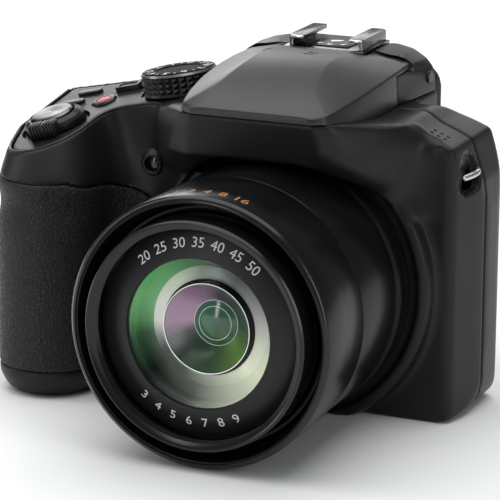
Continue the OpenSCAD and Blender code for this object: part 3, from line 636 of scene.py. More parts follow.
def oblong(x: float, z: float, half_x: float, half_z: float) -> list[Flat]:
    """Gives the corners of an upright rectangle.

    Args:
        x: its middle across.
        z: its middle in height.
        half_x: half its width.
        half_z: half its height.

    Returns:
        The four corners.
    """
    left, right, low, high = x - half_x, x + half_x, z - half_z, z + half_z
    return [(left, low), (right, low), (right, high), (left, high)]


def node_group(
    name: str, inputs: dict[str, float], outputs: Sequence[str]
) -> tuple[bpy.types.NodeTree, Graph]:
    """Starts a shader node group with named value sockets.

    Args:
        name: the group's name.
        inputs: name and default of each input.
        outputs: name of each output.

    Returns:
        The group and its graph.
    """
    tree = bpy.data.node_groups.new(name, "ShaderNodeTree")
    for label, value in inputs.items():
        tree.interface.new_socket(label, in_out="INPUT", socket_type="NodeSocketFloat").default_value = value
    for label in outputs:
        tree.interface.new_socket(label, in_out="OUTPUT", socket_type="NodeSocketFloat")
    return tree, Graph(tree)


class Effects:
    """Node groups that several finishes share."""

    def __init__(self) -> None:
        """Builds each group once."""
        self.grain = self._grain()
        self.leather = self._leather()

    @staticmethod
    def _grain() -> bpy.types.NodeTree:
        """Returns the fine spark-eroded grain of moulded plastic, with the slow mottle of handling."""
        tree, graph = node_group("moulded_grain", {"Size": 0.3}, ("Height", "Mottle"))
        size = graph.add("NodeGroupInput").outputs["Size"]
        place = graph.add("ShaderNodeTexCoord").outputs["Object"]
        per_metre = graph.math("DIVIDE", 1000.0, size)
        fine = graph.add("ShaderNodeTexNoise", {"Vector": place, "Scale": per_metre, "Detail": 2.0})
        slow = graph.add(
            "ShaderNodeTexNoise", {"Vector": place, "Scale": 70.0, "Detail": 3.0, "Roughness": 0.6}
        )
        graph.add("NodeGroupOutput", {"Height": fine.outputs[0], "Mottle": slow.outputs[0]})
        return tree

    @staticmethod
    def _leather() -> bpy.types.NodeTree:
        """Returns the pebbled leather grain of the grip's rubber, with its creases."""
        tree, graph = node_group("leather_grain", {"Size": 1.2}, ("Height", "Crease"))
        size = graph.add("NodeGroupInput").outputs["Size"]
        place = graph.add("ShaderNodeTexCoord").outputs["Object"]
        per_metre = graph.math("DIVIDE", 1000.0, size)
        warp = graph.add("ShaderNodeTexNoise", {"Vector": place, "Scale": per_metre, "Detail": 2.0})
        shift = graph.add(
            "ShaderNodeVectorMath", {0: warp.outputs["Color"], 1: (0.5, 0.5, 0.5)}, operation="SUBTRACT"
        )
        reach = graph.add("ShaderNodeVectorMath", {0: shift.outputs[0], "Scale": 0.0014}, operation="SCALE")
        bent = graph.add("ShaderNodeVectorMath", {0: place, 1: reach.outputs[0]}, operation="ADD").outputs[0]
        cells = graph.add(
            "ShaderNodeTexVoronoi", {"Vector": bent, "Scale": per_metre}, feature="DISTANCE_TO_EDGE"
        ).outputs["Distance"]
        crease = graph.span(cells, 0.0, 0.22, 1.0, 0.0)
        fine = graph.add("ShaderNodeTexNoise", {"Vector": place, "Scale": 5200.0, "Detail": 1.0}).outputs[0]
        height = graph.math("SUBTRACT", graph.math("MULTIPLY", fine, 0.25), crease)
        graph.add("NodeGroupOutput", {"Height": height, "Crease": crease})
        return tree


@dataclass(frozen=True)
class Finish:
    """What every finish has: its colour, gloss and name."""

    name: str
    colour: tuple[float, float, float]
    roughness: float = 0.45
    specular: float = 0.4

    def start(self, **sockets: float) -> tuple[bpy.types.Material, Graph, bpy.types.Node]:
        """Starts the material with its shader.

        Args:
            sockets: further constants of the shader, with _ for each space.

        Returns:
            The material, its graph and its shader.
        """
        material = bpy.data.materials.new(self.name)
        material.use_nodes = True
        material.diffuse_color = (*self.colour, 1)
        graph = Graph(material.node_tree)
        constants = {
            "Base Color": (*self.colour, 1), "Roughness": self.roughness, "Specular IOR Level": self.specular,
            **{key.replace("_", " "): value for key, value in sockets.items()},
        }
        shader = graph.add("ShaderNodeBsdfPrincipled", constants)
        graph.add("ShaderNodeOutputMaterial", {"Surface": shader.outputs[0]})
        return material, graph, shader

    def shades(self, spread: float) -> tuple[tuple, tuple]:
        """Returns a darker and a lighter shade of the colour."""
        return (
            tuple(c * (1 - spread) for c in self.colour),
            tuple(min(1.0, c * (1 + spread)) for c in self.colour),
        )

    def material(self, effects: Effects) -> bpy.types.Material:
        """Returns the finished material."""
        raise NotImplementedError


@dataclass(frozen=True)
class Moulded(Finish):
    """Moulded plastic or paint with a fine grain."""

    grain: float = 0.3
    depth: float = 0.02
    spread: float = 0.2
    coat: float = 0.0

    def material(self, effects: Effects) -> bpy.types.Material:
        """Returns the grained plastic, a little patchy in gloss."""
        material, graph, shader = self.start(Coat_Weight=self.coat, Coat_Roughness=0.15)
        grain = graph.add("ShaderNodeGroup", node_tree=effects.grain)
        grain.inputs["Size"].default_value = self.grain
        bump = graph.add(
            "ShaderNodeBump",
            {"Height": grain.outputs["Height"], "Distance": self.depth * MM, "Strength": 1.0}
        )
        graph.tree.links.new(bump.outputs[0], shader.inputs["Normal"])
        rough = graph.span(grain.outputs["Mottle"], 0.3, 0.7, self.roughness * 0.93, self.roughness * 1.07)
        graph.tree.links.new(rough, shader.inputs["Roughness"])
        graph.tree.links.new(
            graph.tint(grain.outputs["Height"], *self.shades(self.spread)), shader.inputs["Base Color"]
        )
        return material


@dataclass(frozen=True)
class Leathered(Finish):
    """Rubber with a leather grain."""

    grain: float = 1.2
    depth: float = 0.12

    def material(self, effects: Effects) -> bpy.types.Material:
        """Returns the rubber, duller in its creases, with shade painted into the creases' colour."""
        material, graph, shader = self.start()
        leather = graph.add("ShaderNodeGroup", node_tree=effects.leather)
        leather.inputs["Size"].default_value = self.grain
        bump = graph.add(
            "ShaderNodeBump",
            {"Height": leather.outputs["Height"], "Distance": self.depth * MM, "Strength": 1.0}
        )
        graph.tree.links.new(bump.outputs[0], shader.inputs["Normal"])
        rough = graph.span(leather.outputs["Crease"], 0.0, 1.0, self.roughness, self.roughness + 0.25)
        graph.tree.links.new(rough, shader.inputs["Roughness"])
        # Painted shade: the base colour darkens in the creases.
        light, dark = self.shades(0.3)[1], self.shades(0.4)[0]
        graph.tree.links.new(graph.tint(leather.outputs["Crease"], light, dark), shader.inputs["Base Color"])
        return material


@dataclass(frozen=True)
class SpunMetal(Finish):
    """Metal turned on a lathe, with rings round a centre and the lathe's bow-tie highlight painted into its
    colour.
    """

    centre: Matrix = field(default_factory=lambda: Matrix.Identity(4))
    ring: float = 0.12
    depth: float = 0.006
    phase: float = 0.9

    def material(self, effects: Effects) -> bpy.types.Material:
        """Returns the metal, grooved round the centre's axis, with the bow-tie highlight of a lathe painted
        into its base colour.
        """
        material, graph, shader = self.start(Metallic=1.0)
        local = self.centre.inverted()
        place = graph.add("ShaderNodeTexCoord").outputs["Object"]
        mapping = graph.add("ShaderNodeMapping", {"Vector": place})
        mapping.inputs["Location"].default_value = local.to_translation() * MM
        mapping.inputs["Rotation"].default_value = local.to_euler()
        split = graph.add("ShaderNodeSeparateXYZ", {0: mapping.outputs[0]}).outputs
        flat = graph.add("ShaderNodeCombineXYZ", {0: split[0], 1: split[1]}).outputs[0]
        radius = graph.add("ShaderNodeVectorMath", {0: flat}, operation="LENGTH").outputs["Value"]
        rings = graph.add(
            "ShaderNodeTexNoise", {"W": radius, "Scale": 1000 / self.ring, "Detail": 2.0},
            noise_dimensions="1D"
        ).outputs[0]
        bump = graph.add("ShaderNodeBump", {"Height": rings, "Distance": self.depth * MM, "Strength": 1.0})
        graph.tree.links.new(bump.outputs[0], shader.inputs["Normal"])
        # Painted highlight: the base colour lightens in two lobes round the axis, in place of the lathe's
        # conic reflections.
        turn = graph.math("ARCTAN2", split[1], split[0])
        highlight_wave = graph.math("COSINE", graph.math("ADD", graph.math("MULTIPLY", turn, 2.0), self.phase))
        painted_highlight_lobes = graph.math("POWER", graph.span(highlight_wave, -1.0, 1.0, 0.0, 1.0), 2.0)
        graph.tree.links.new(graph.tint(painted_highlight_lobes, *self.shades(0.72)), shader.inputs["Base Color"])
        return material


@dataclass(frozen=True)
class Metal(Finish):
    """Plated or plain metal with a faint rub."""

    rub: float = 0.1

    def material(self, effects: Effects) -> bpy.types.Material:
        """Returns the metal with patchy gloss and hairlines."""
        material, graph, shader = self.start(Metallic=1.0)
        place = graph.add("ShaderNodeTexCoord").outputs["Object"]
        drawn = graph.add("ShaderNodeMapping", {"Vector": place, "Scale": (1.0, 0.06, 1.0)}).outputs[0]
        hairs = graph.add("ShaderNodeTexNoise", {"Vector": drawn, "Scale": 6000.0, "Detail": 3.0}).outputs[0]
        rough = graph.span(hairs, 0.3, 0.7, self.roughness - self.rub / 2, self.roughness + self.rub)
        graph.tree.links.new(rough, shader.inputs["Roughness"])
        graph.tree.links.new(graph.tint(hairs, *self.shades(0.12)), shader.inputs["Base Color"])
        return material


@dataclass(frozen=True)
class CoatedGlass(Finish):
    """Clear optical glass, which lets shadow rays through to light what is behind it."""

    ior: float = 1.5

    def material(self, effects: Effects) -> bpy.types.Material:
        """Returns the glass, with a trace of dust in its gloss."""
        material, graph, shader = self.start(Transmission_Weight=1.0, IOR=self.ior)
        grain = graph.add("ShaderNodeGroup", node_tree=effects.grain)
        grain.inputs["Size"].default_value = 0.8
        rough = graph.span(grain.outputs["Mottle"], 0.45, 0.8, self.roughness, self.roughness + 0.02)
        graph.tree.links.new(rough, shader.inputs["Roughness"])
        path = graph.add("ShaderNodeLightPath").outputs["Is Shadow Ray"]
        clear = graph.add("ShaderNodeBsdfTransparent", {"Color": (*self.colour, 1)})
        mix = graph.add("ShaderNodeMixShader", {0: path, 1: shader.outputs[0], 2: clear.outputs[0]})
        output = next(n for n in graph.tree.nodes if n.bl_idname == "ShaderNodeOutputMaterial")
        graph.tree.links.new(mix.outputs[0], output.inputs["Surface"])
        return material


@dataclass(frozen=True)
class Coating(Finish):
    """Inner lens part whose colour holds painted reflections that shift round the lens axis, and that glows
    with that colour.
    """

    glow: float = 0.3
    sweep: tuple[tuple[float, Point], ...] = ()

    def material(self, effects: Effects) -> bpy.types.Material:
        """Returns the part with painted reflections: coloured, and glowing, by the angle from the lens side
        round to the top.
        """
        material, graph, shader = self.start(
            Coat_Weight=0.2, Coat_Roughness=0.08, Emission_Strength=self.glow
        )
        local = LAYOUT.lens_spot().inverted()
        place = graph.add("ShaderNodeTexCoord").outputs["Object"]
        mapping = graph.add("ShaderNodeMapping", {"Vector": place})
        mapping.inputs["Location"].default_value = local.to_translation() * MM
        mapping.inputs["Rotation"].default_value = local.to_euler()
        split = graph.add("ShaderNodeSeparateXYZ", {0: mapping.outputs[0]}).outputs
        turn = graph.span(graph.math("ARCTAN2", split[1], split[0]), -math.pi, math.pi, 0.0, 1.0)
        ramp = graph.add("ShaderNodeValToRGB", {0: turn})
        elements = ramp.color_ramp.elements
        stops = [((angle + 180) / 360, (*colour, 1)) for angle, colour in self.sweep]
        for element, (place_on, colour) in zip((elements[0], elements[1]), (stops[0], stops[-1])):
            element.position, element.color = place_on, colour
        for place_on, colour in stops[1:-1]:
            elements.new(place_on).color = colour
        # Painted reflections: the colour by angle stands in for lamps seen in the lens, and is also given off
        # as glow.
        graph.tree.links.new(ramp.outputs[0], shader.inputs["Base Color"])
        graph.tree.links.new(ramp.outputs[0], shader.inputs["Emission Color"])
        return material


@dataclass(frozen=True)
class Screen(Finish):
    """Black glass over a dark display."""

    def material(self, effects: Effects) -> bpy.types.Material:
        """Returns the glass, with a faint sheen of finger marks."""
        material, graph, shader = self.start(Coat_Weight=1.0, Coat_Roughness=0.03)
        grain = graph.add("ShaderNodeGroup", node_tree=effects.grain)
        rough = graph.span(grain.outputs["Mottle"], 0.4, 0.75, self.roughness, self.roughness + 0.12)
        graph.tree.links.new(rough, shader.inputs["Roughness"])
        graph.tree.links.new(
            graph.tint(grain.outputs["Mottle"], *self.shades(0.3)), shader.inputs["Base Color"]
        )
        return material


# Colours by angle round the lens axis: painted reflections of the lamps, as seen in the lens's inner parts.
GREEN_PAINTED_REFLECTIONS = (
    (-180, (0.07, 0.21, 0.08)), (-168, (0.02, 0.06, 0.025)), (-140, (0.003, 0.008, 0.005)),
    (-105, (0.05, 0.06, 0.05)),
    (-75, (0.3, 0.32, 0.26)), (-40, (0.5, 0.53, 0.4)), (0, (0.3, 0.32, 0.28)), (30, (0.03, 0.04, 0.035)),
    (85, (0.006, 0.02, 0.008)), (110, (0.03, 0.1, 0.035)), (140, (0.07, 0.25, 0.08)),
    (165, (0.11, 0.29, 0.12)), (180, (0.07, 0.21, 0.08)),
)
PALE_PAINTED_REFLECTIONS = (
    (-180, (0.5, 0.48, 0.46)), (-165, (0.2, 0.2, 0.19)), (-150, (0.05, 0.06, 0.05)),
    (-120, (0.05, 0.06, 0.05)),
    (-90, (0.22, 0.24, 0.2)), (-45, (0.55, 0.58, 0.44)), (-15, (0.42, 0.44, 0.36)), (20, (0.2, 0.21, 0.2)),
    (60, (0.04, 0.05, 0.05)), (95, (0.1, 0.12, 0.1)), (125, (0.34, 0.38, 0.3)), (160, (0.5, 0.5, 0.45)),
    (180, (0.5, 0.48, 0.46)),
)
VIOLET_PAINTED_REFLECTIONS = (
    (-180, (0.26, 0.18, 0.24)), (-160, (0.06, 0.06, 0.06)), (-130, (0.006, 0.02, 0.009)),
    (-90, (0.008, 0.03, 0.008)),
    (-40, (0.06, 0.13, 0.025)), (0, (0.01, 0.03, 0.012)), (50, (0.01, 0.018, 0.01)),
    (85, (0.03, 0.018, 0.03)),
    (115, (0.13, 0.08, 0.13)), (145, (0.25, 0.17, 0.24)), (180, (0.26, 0.18, 0.24)),
)
PUPIL_PAINTED_REFLECTIONS = (
    (-180, (0.02, 0.08, 0.04)), (-90, (0.008, 0.045, 0.012)), (0, (0.01, 0.045, 0.02)),
    (90, (0.015, 0.06, 0.04)),
    (180, (0.02, 0.08, 0.04)),
)


class Look(Enum):
    """Every finish on the camera."""

    SHELL = Moulded("moulded_black", (0.0085, 0.0088, 0.0096), 0.4, 0.26, 0.28, 0.018)
    # The flash cover's base colour is lighter than the shell's: painted light from the top lamp falling on
    # it.
    FLASH = Moulded("moulded_black_painted_toplight", (0.015, 0.0153, 0.016), 0.38, 0.5, 0.28, 0.012)
    CONTROL = Moulded("control_black", (0.008, 0.0081, 0.0086), 0.34, 0.36, 0.25, 0.012)
    BARREL = Moulded("barrel_satin", (0.004, 0.0041, 0.0045), 0.24, 0.16, 0.2, 0.0015)
    RIM = Moulded("rim_satin", (0.006, 0.0061, 0.0066), 0.22, 0.4, 0.2, 0.004)
    RING = Moulded("ring_satin", (0.009, 0.0092, 0.0105), 0.4, 0.36, 0.2, 0.006)
    INNER = Moulded("inner_flat", (0.004, 0.004, 0.0045), 0.7, 0.2, 0.3, 0.02)
    LEATHER = Leathered("grip_leather", (0.0085, 0.0086, 0.009), 0.36, 0.36, 1.0, 0.17)
    RUBBER = Leathered("soft_rubber", (0.010, 0.010, 0.0105), 0.55, 0.3, 0.5, 0.03)
    SPUN = SpunMetal("spun_cap", (0.11, 0.112, 0.115), 0.3, 0.5, LAYOUT.deck_spot(-51, -13))
    DIAL_TOP = Moulded("dial_black", (0.004, 0.004, 0.0045), 0.6, 0.06, 0.2, 0.006)
    BRIGHT = Metal("bright_rim", (0.72, 0.73, 0.74), 0.18)
    SATIN = Metal("satin_trim", (0.22, 0.222, 0.225), 0.28)
    STEEL = Metal("plain_steel", (0.6, 0.6, 0.61), 0.26)
    DARK_CHROME = Metal("dark_chrome", (0.11, 0.11, 0.115), 0.2)
    GLASS = CoatedGlass("front_glass", (1.0, 1.0, 1.0), 0.0, 0.5, 1.12)
    INNER_GLASS = CoatedGlass("inner_glass", (0.8, 0.95, 0.85), 0.0, 0.5, 1.6)
    CLEAR = CoatedGlass("clear_window", (0.95, 0.96, 0.97), 0.05)
    # Inner lens parts with painted reflections that glow; the edge rings are painted glints that glow white.
    GREEN = Coating("green_painted_reflection", (0.07, 0.2, 0.08), 0.35, 0.4, 0.55, GREEN_PAINTED_REFLECTIONS)
    PALE = Coating("pale_painted_reflection", (0.4, 0.4, 0.35), 0.35, 0.4, 0.6, PALE_PAINTED_REFLECTIONS)
    VIOLET = Coating("violet_painted_reflection", (0.1, 0.08, 0.1), 0.3, 0.4, 0.55, VIOLET_PAINTED_REFLECTIONS)
    PUPIL = Coating("pupil_painted_reflection", (0.012, 0.05, 0.02), 0.06, 0.6, 0.5, PUPIL_PAINTED_REFLECTIONS)
    EDGE = Coating(
        "painted_edge_glint", (0.6, 0.6, 0.58), 0.3, 0.4, 0.35, ((-180, (0.8, 0.8, 0.8)), (180, (0.8, 0.8, 0.8)))
    )
    SCREEN = Screen("screen_glass", (0.006, 0.0062, 0.007), 0.08)
    LAMP = Moulded("lamp_window", (0.01, 0.003, 0.003), 0.08, 0.4, 0.6, 0.004, 0.2, 0.3)
    WHITE = Moulded("white_print", (0.75, 0.75, 0.74), 0.5, 0.3, 0.3, 0.004, 0.05)
    ORANGE = Moulded("orange_print", (0.5, 0.22, 0.06), 0.5, 0.3, 0.3, 0.004, 0.08)
    RED = Moulded("red_dot", (0.62, 0.03, 0.025), 0.35, 0.4, 0.3, 0.004, 0.08)
    BOARD = Moulded("solder_mask", (0.02, 0.13, 0.06), 0.35, 0.5, 0.8, 0.03, 0.3)
    CELL = Moulded("battery_case", (0.03, 0.03, 0.034), 0.5, 0.4, 0.4, 0.02)


class Wardrobe:
    """Makes each material once."""

    def __init__(self) -> None:
        """Starts with the shared effects and no material."""
        self.effects = Effects()
        self.made: dict[Look, bpy.types.Material] = {}

    def material(self, look: Look) -> bpy.types.Material:
        """Returns the material of a look."""
        if look not in self.made:
            self.made[look] = look.value.material(self.effects)
        return self.made[look]


@dataclass
class Bench:
    """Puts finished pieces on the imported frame."""

    frame: dict
    wardrobe: Wardrobe = field(default_factory=Wardrobe)
    replaced: set[str] = field(default_factory=set)

    def body_of(self, node: str) -> str:
        """Returns the body that a node rides on."""
        bodies = self.frame["record"]["behaviour"]["bodies"]
        return next(body for body, nodes in bodies.items() if node in nodes)

    def place(
        self, solid: Solid, name: str, look: Look, node: str, replaces: bool = True, sharp: float = 35
    ) -> bpy.types.Object:
        """Turns a solid into a piece that rides with a node's body.

        Args:
            solid: the finished shape.
            name: the piece's name.
            look: its finish.
            node: the node whose body and slot it takes.
            replaces: whether it stands for that node.
            sharp: angle in degrees past which an edge shades sharp.

        Returns:
            The piece.
        """
        mesh = solid.mesh
        mesh.transform(Matrix.Scale(MM, 4))
        mesh.name = name
        mesh.materials.clear()
        mesh.materials.append(self.wardrobe.material(look))
        mesh.polygons.foreach_set("material_index", [0] * len(mesh.polygons))
        mesh.shade_smooth()
        mesh.set_sharp_from_angle(angle=math.radians(sharp))
        piece = bpy.data.objects.new(name, mesh)
        bpy.context.scene.collection.objects.link(piece)
        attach(piece, self.body_of(node))
        if replaces:
            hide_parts(node)
            self.replaced.add(node)
        LOG.info("%s: %d faces", name, len(mesh.polygons))
        return piece

    def dress(self, node: str, look: Look, edge: float = 0.12) -> None:
        """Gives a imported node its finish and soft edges.

        Args:
            node: the node.
            look: its finish.
            edge: width of the edge rounding.
        """
        piece = self.frame["nodes"][node]
        piece.data.materials.clear()
        piece.data.materials.append(self.wardrobe.material(look))
        weld = piece.modifiers.new("weld", "WELD")
        weld.merge_threshold = 1e-6
        bevel = piece.modifiers.new("edges", "BEVEL")
        bevel.width, bevel.segments, bevel.limit_method = edge * MM, 2, "ANGLE"
        bevel.angle_limit = math.radians(40)
        bevel.harden_normals = False


# Sub-assemblies


@dataclass
class BodyShell:
    """Front and rear covers, top plate and grip, cut from one smooth blank."""

    half_width: float = 65.1
    front: float = -11.5
    rear: float = 20.0
    shoulder: float = 79.2
    split: float = 3.5
    seam: float = 0.17
    wall: float = 2.2
    recess_r: float = 37.0
    recess_floor: float = 15.0
    recess_high: float = 70.7
    finder_half: float = 24.5
    finder_back: float = 31.5
    grip_at: Flat = (-48.0, -23.0)
    grip_r: float = 13.8
    rubber_low: float = 7.5
    rubber_high: float = 58.2
    rubber_right: float = -21.8
    plate_inset: float = 1.3
    plate_t: float = 2.4
    lamp_at: Flat = (-23.0, 61.3)
    lugs: tuple[tuple[int, float, float, float], ...] = ((-1, 64.0, -3.2, 62.4), (1, 62.7, -3.2, 65.4))
    door_high: float = 2.1

    def core(self) -> Solid:
        """Returns the box of the body, with its sloping shoulders and back."""
        w, top, back = self.half_width, self.shoulder, self.rear
        foot = [(w - 7, 0), (w - 4.1, 0.7), (w - 2.3, 2), (w - 1, 4.5), (w - 0.4, 7.5), (w, 18)]
        rise = [
            (w, top - 24), (w - 0.9, top - 17), (w - 3, top - 11), (w - 4.6, top - 6.2), (w - 8, top - 4.6)
        ]
        rise += [(w - 13, top - 2.6), (w - 17, top)]
        left = [(-w + 8, top), (-w, top - 15.5)] + [(-x, z) for x, z in reversed(foot)]
        side = [(-40, 0), (back, 0), (back, top - 9.2), (back - 3, top - 2.2), (back - 8, top), (-40, top)]
        plan = [
            (-w, self.front), (w - 4.2, self.front), (w - 0.7, 1), (w, 5), (w, 14), (w - 2, 18.4),
            (w - 6.6, back)
        ]
        plan += [(-w + 6.6, back), (-w + 2, 18.4), (-w, 14)]
        lean = [(-46, -40, 57), (-46, -11.5, 57), (-46, -6, 78), (-46, -40, 78)]
        lean += [(-13, -40, 66), (-13, -11.6, 66), (-13, -11.4, 80), (-13, -40, 80)]
        solid = Solid.prism(foot + rise + left, -60, 60, Plane.FRONT)
        solid.meet(
            Solid.prism(
                plan, -1, 100, Plane.PLAN, 1.8
            ), Solid.prism(side, -80, 80, Plane.SIDE, 2.5), solver="EXACT"
        )
        fall = [(-80, 16, 74), (-80, 20.2, 60), (-80, 45, 60), (-80, 45, 90), (-80, 13.5, 82)]
        fall += [(-36, 11.8, 78.6), (-36, 20.2, 66), (-36, 45, 66), (-36, 45, 92), (-36, 10.6, 82)]
        fall += [(-12, 12, 80), (-12, 20.2, 70), (-12, 45, 70), (-12, 45, 92)]
        return solid.cut(Solid.hull(lean), Solid.hull(fall), solver="EXACT")

    def grip(self) -> Solid:
        """Returns the hand grip with its domed crown."""
        x, y, r = *self.grip_at, self.grip_r
        left, right = -self.half_width + 9, x + 8.6
        return Solid.hull(
            discs=[
                (x, y, 0, r - 3.6), (x, y, 1.6, r - 1.6), (x, y, 5, r), (x, y, 57, r),
                (x - 2, y + 8.5, 68.5, 11.4), (x - 2, y + 8.5, 75, 9.6),
                (left, -6, 0, 5.4), (left, -6, 5, 9), (left, -6, 64, 9), (left + 3, -6, 74, 6),
                (right, -6, 0, 4.2), (right, -6, 5, 6), (right, -6, 60, 6),
            ]
        )

    @staticmethod
    def valley() -> Solid:
        """Returns the hollow sweep between the grip and the front wall, which dies out at the deck."""
        low = [
            (-40, -22), (-34.1, -20.8), (-33.3, -17.1), (-31.4, -14.1), (-28.4, -12.2), (-24.5, -11.4),
            (-40, -6)
        ]
        high = [
            (-42, -12), (-40.4, -10.2), (-39.2, -8.6), (-38, -7.4), (-36.6, -6.6), (-34.5, -6.5), (-42, -3)
        ]
        return Solid.lofted([[(x, y, z) for x, y in row] for z, row in ((3.5, low), (56, low), (77, high))])

    def collar(self) -> Solid:
        """Returns the ring that rises from the front wall to the lens, with its crisp ridge."""
        r, f = self.recess_r, self.recess_floor
        profile = [(0, 6), (r + 4, 6), (r + 3.6, 11.2), (r + 2.9, f + 0.4), (r + 1.4, f + 1.2), (0, f + 1.3)]
        ring = Solid.turned(profile, LAYOUT.lens_spot())
        return ring.meet(Solid.box((-FAR, -FAR, 0), (FAR, FAR, self.shoulder)), solver="EXACT")

    @staticmethod
    def brow(spare: float = 0) -> Solid:
        """Builds the brow over the lens.

        Args:
            spare: how much it grows at its sides.

        Returns:
            The brow, running past its top edge.
        """
        corners = [
            (16.5, -36, 82.6), (20, -34, 82.3), (22.4, -27.5, 80.7), (23.6, -14, 79.2), (23.6, -9, 79.2),
            (18.2, -35, 77.5), (23, -32, 77.5), (30.5, -22.5, 77.4), (36.5, -14.6, 77.4), (36.8, -9, 78.4),
            (18.8, -34, 70.7), (25.2, -31, 70.7), (32.2, -21.5, 70.7), (35.8, -15.5, 70.7), (36.8, -9, 70.7),
            (29.4, -19, 62), (33.7, -15, 62), (34.7, -9, 62),
        ]
        x = LAYOUT.hump_x
        return Solid.hull([(x + sign * (half + spare), y, z) for half, y, z in corners for sign in (-1, 1)])

    def finder(self) -> Solid:
        """Returns the viewfinder's housing at the back."""
        x, half = LAYOUT.lens_x, self.finder_half
        outline = [(x - half, 57), (x + half, 57), (x + half, 83), (x - half, 83)]
        housing = Solid.prism(outline, self.split - 2, self.finder_back, Plane.FRONT, 4)
        return housing.meet(Solid.box((-FAR, -FAR, 0), (FAR, FAR, self.shoulder)), solver="EXACT")

    def scoop(self, bm: bmesh.types.BMesh) -> None:
        """Presses the finger scoop into the front of the grip, just under the top of its rubber."""
        for vert in bm.verts:
            x, y, z = vert.co
            if y < -14 and x < -30:
                depth = 1.3 * math.exp(-(((z - 51.5) / 4.2) ** 2)) * min(1.0, (-14 - y) / 10)
                vert.co.y += depth
                vert.co.x += depth * 0.25

    def blank(self) -> Solid:
        """Returns the smooth body that every shell is cut from."""
        heap = self.core().heap(self.grip(), self.valley(), self.collar(), self.brow(), self.finder())
        heap.melted(0.62, 9).softened((-46, -36, 42), (-14, 1, 90), 90).softened(
            (30, -34.5, 53), (57, -9, 78.9), 160
        )
        return heap.softened((-24, -36, 55), (-6, -9, 69), 30).reshaped(self.scoop)

    def deck_slab(self, low: float, high: float, right: float) -> Solid:
        """Builds a slab over the sloping deck.

        Args:
            low: its underside, measured from the deck.
            high: its top.
            right: where it ends across.

        Returns:
            The slab.
        """
        x, y, _ = LAYOUT.deck_at
        slab = Solid.box((-FAR, -FAR, low), (FAR, FAR, high), LAYOUT.deck_spot(x, y))
        kept = self.brow(0.6).meet(Solid.box((-FAR, -FAR, 0), (FAR, -13.5, FAR)), solver="EXACT")
        return slab.meet(
            Solid.box((-FAR, -FAR, 0), (right, FAR, FAR)), solver="EXACT"
        ).cut(kept, solver="EXACT")

    def rubber_zone(self, spare: float) -> Solid:
        """Returns the room of the grip's rubber, grown by a spare gap."""
        low, high, right = self.rubber_low - spare, self.rubber_high + spare, self.rubber_right + spare
        outline = [
            (-90, low), (right, low), (right, high - 12), (right - 0.8, high - 8.6), (right - 3, high - 6)
        ]
        outline += [(right - 6.4, high - 4.4), (right - 10.6, high - 3.2), (right - 14.6, high - 1.3)]
        outline += [(right - 17.5, high), (-90, high)]
        return Solid.prism(outline, -60, -8.6 + spare, Plane.FRONT)

    def lug_recess(self, side: int, y: float, z: float) -> Solid:
        """Returns the pocket round one strap wire."""
        outline = [
            (y - 6.2, z - 2.2), (y - 3, z - 5.4), (y + 3.4, z - 4.4), (y + 5, z), (y + 4.4, z + 3.4),
            (y + 0.4, z + 5.6)
        ]
        outline.append((y - 4.6, z + 3.4))
        x = side * self.half_width
        return Solid.prism(outline, x - 4.5, x + 4.5, Plane.SIDE, 1.5)

    def door_outline(self, gap: float) -> Solid:
        """Returns the room of the battery door, grown by a gap."""
        discs = [(-48, -23, z, 8.6 + gap) for z in (-2, self.door_high + gap)]
        corners = [
            (x, y, z) for x in (-57.6 - gap, -35.6 + gap + 0.3) for y in (-10, 9 + gap)
            for z in (-2, self.door_high + gap)
        ]
        return Solid.hull(corners, discs)

    def underside_cuts(self) -> list[Solid]:
        """Returns what is cut into the underside of both covers."""
        cuts = [
            Solid.box((-10.15, -6.15, -1), (52.15, 15.15, 1.55)),
            Solid.drum(Matrix.Identity(4), 4.65, -1, 8),
            self.door_outline(0.3),
            Solid.box((-56.4, -27.2, 1), (-39.6, 8.2, 8.5)),
            Solid.box((-39.45, -16.2, 1), (-37.0, 8.2, 8.5)),
            Solid.box((-35.9, -7.8, -1), (-32.2, 0.8, 2.65)),
        ]
        for x, y in ((-24, -6), (-24, 14), (57, -5), (57, 13)):
            cuts.append(Solid.drum(Matrix.Translation((x, y, 0)), 1.65, -1, 1.65, steps=32))
        return cuts

    def build(self, bench: Bench) -> None:
        """Builds and places every shell.

        Args:
            bench: where the pieces go.
        """
        blank = self.blank()
        cavity = blank.copy().melted(1.6, 2).grown(-self.wall).melted(1.6, 0)
        inset = blank.copy().grown(-self.plate_inset)
        under_rubber = blank.copy().grown(-1.2)
        trimmed = blank.copy().cut(FlashHead().lid_room(0.3), self.deck_slab(0, 60, LAYOUT.hump_left))
        deck = LAYOUT.deck_spot(*LAYOUT.deck_at[:2])
        line = blank.copy().grown(-0.5).traced(deck, lambda p: p.x < LAYOUT.hump_left and p.y < 13)
        lip = Solid.bead(line, deck.to_3x3().col[2], 0.42)
        bench.place(lip, "deck_lip", Look.CONTROL, "front_cover", replaces=False, sharp=80)
        pocket = inset.copy().grown(0.4).meet(self.deck_slab(-self.plate_t - 0.3, 60, LAYOUT.hump_left + 0.3))
        self.build_plate(bench, inset)
        self.build_rubber(bench, blank, under_rubber)
        self.build_front(bench, trimmed.copy(), [cavity.copy(), pocket.copy()], under_rubber)
        self.build_rear(bench, trimmed, [cavity, pocket])
        self.build_trim(bench)

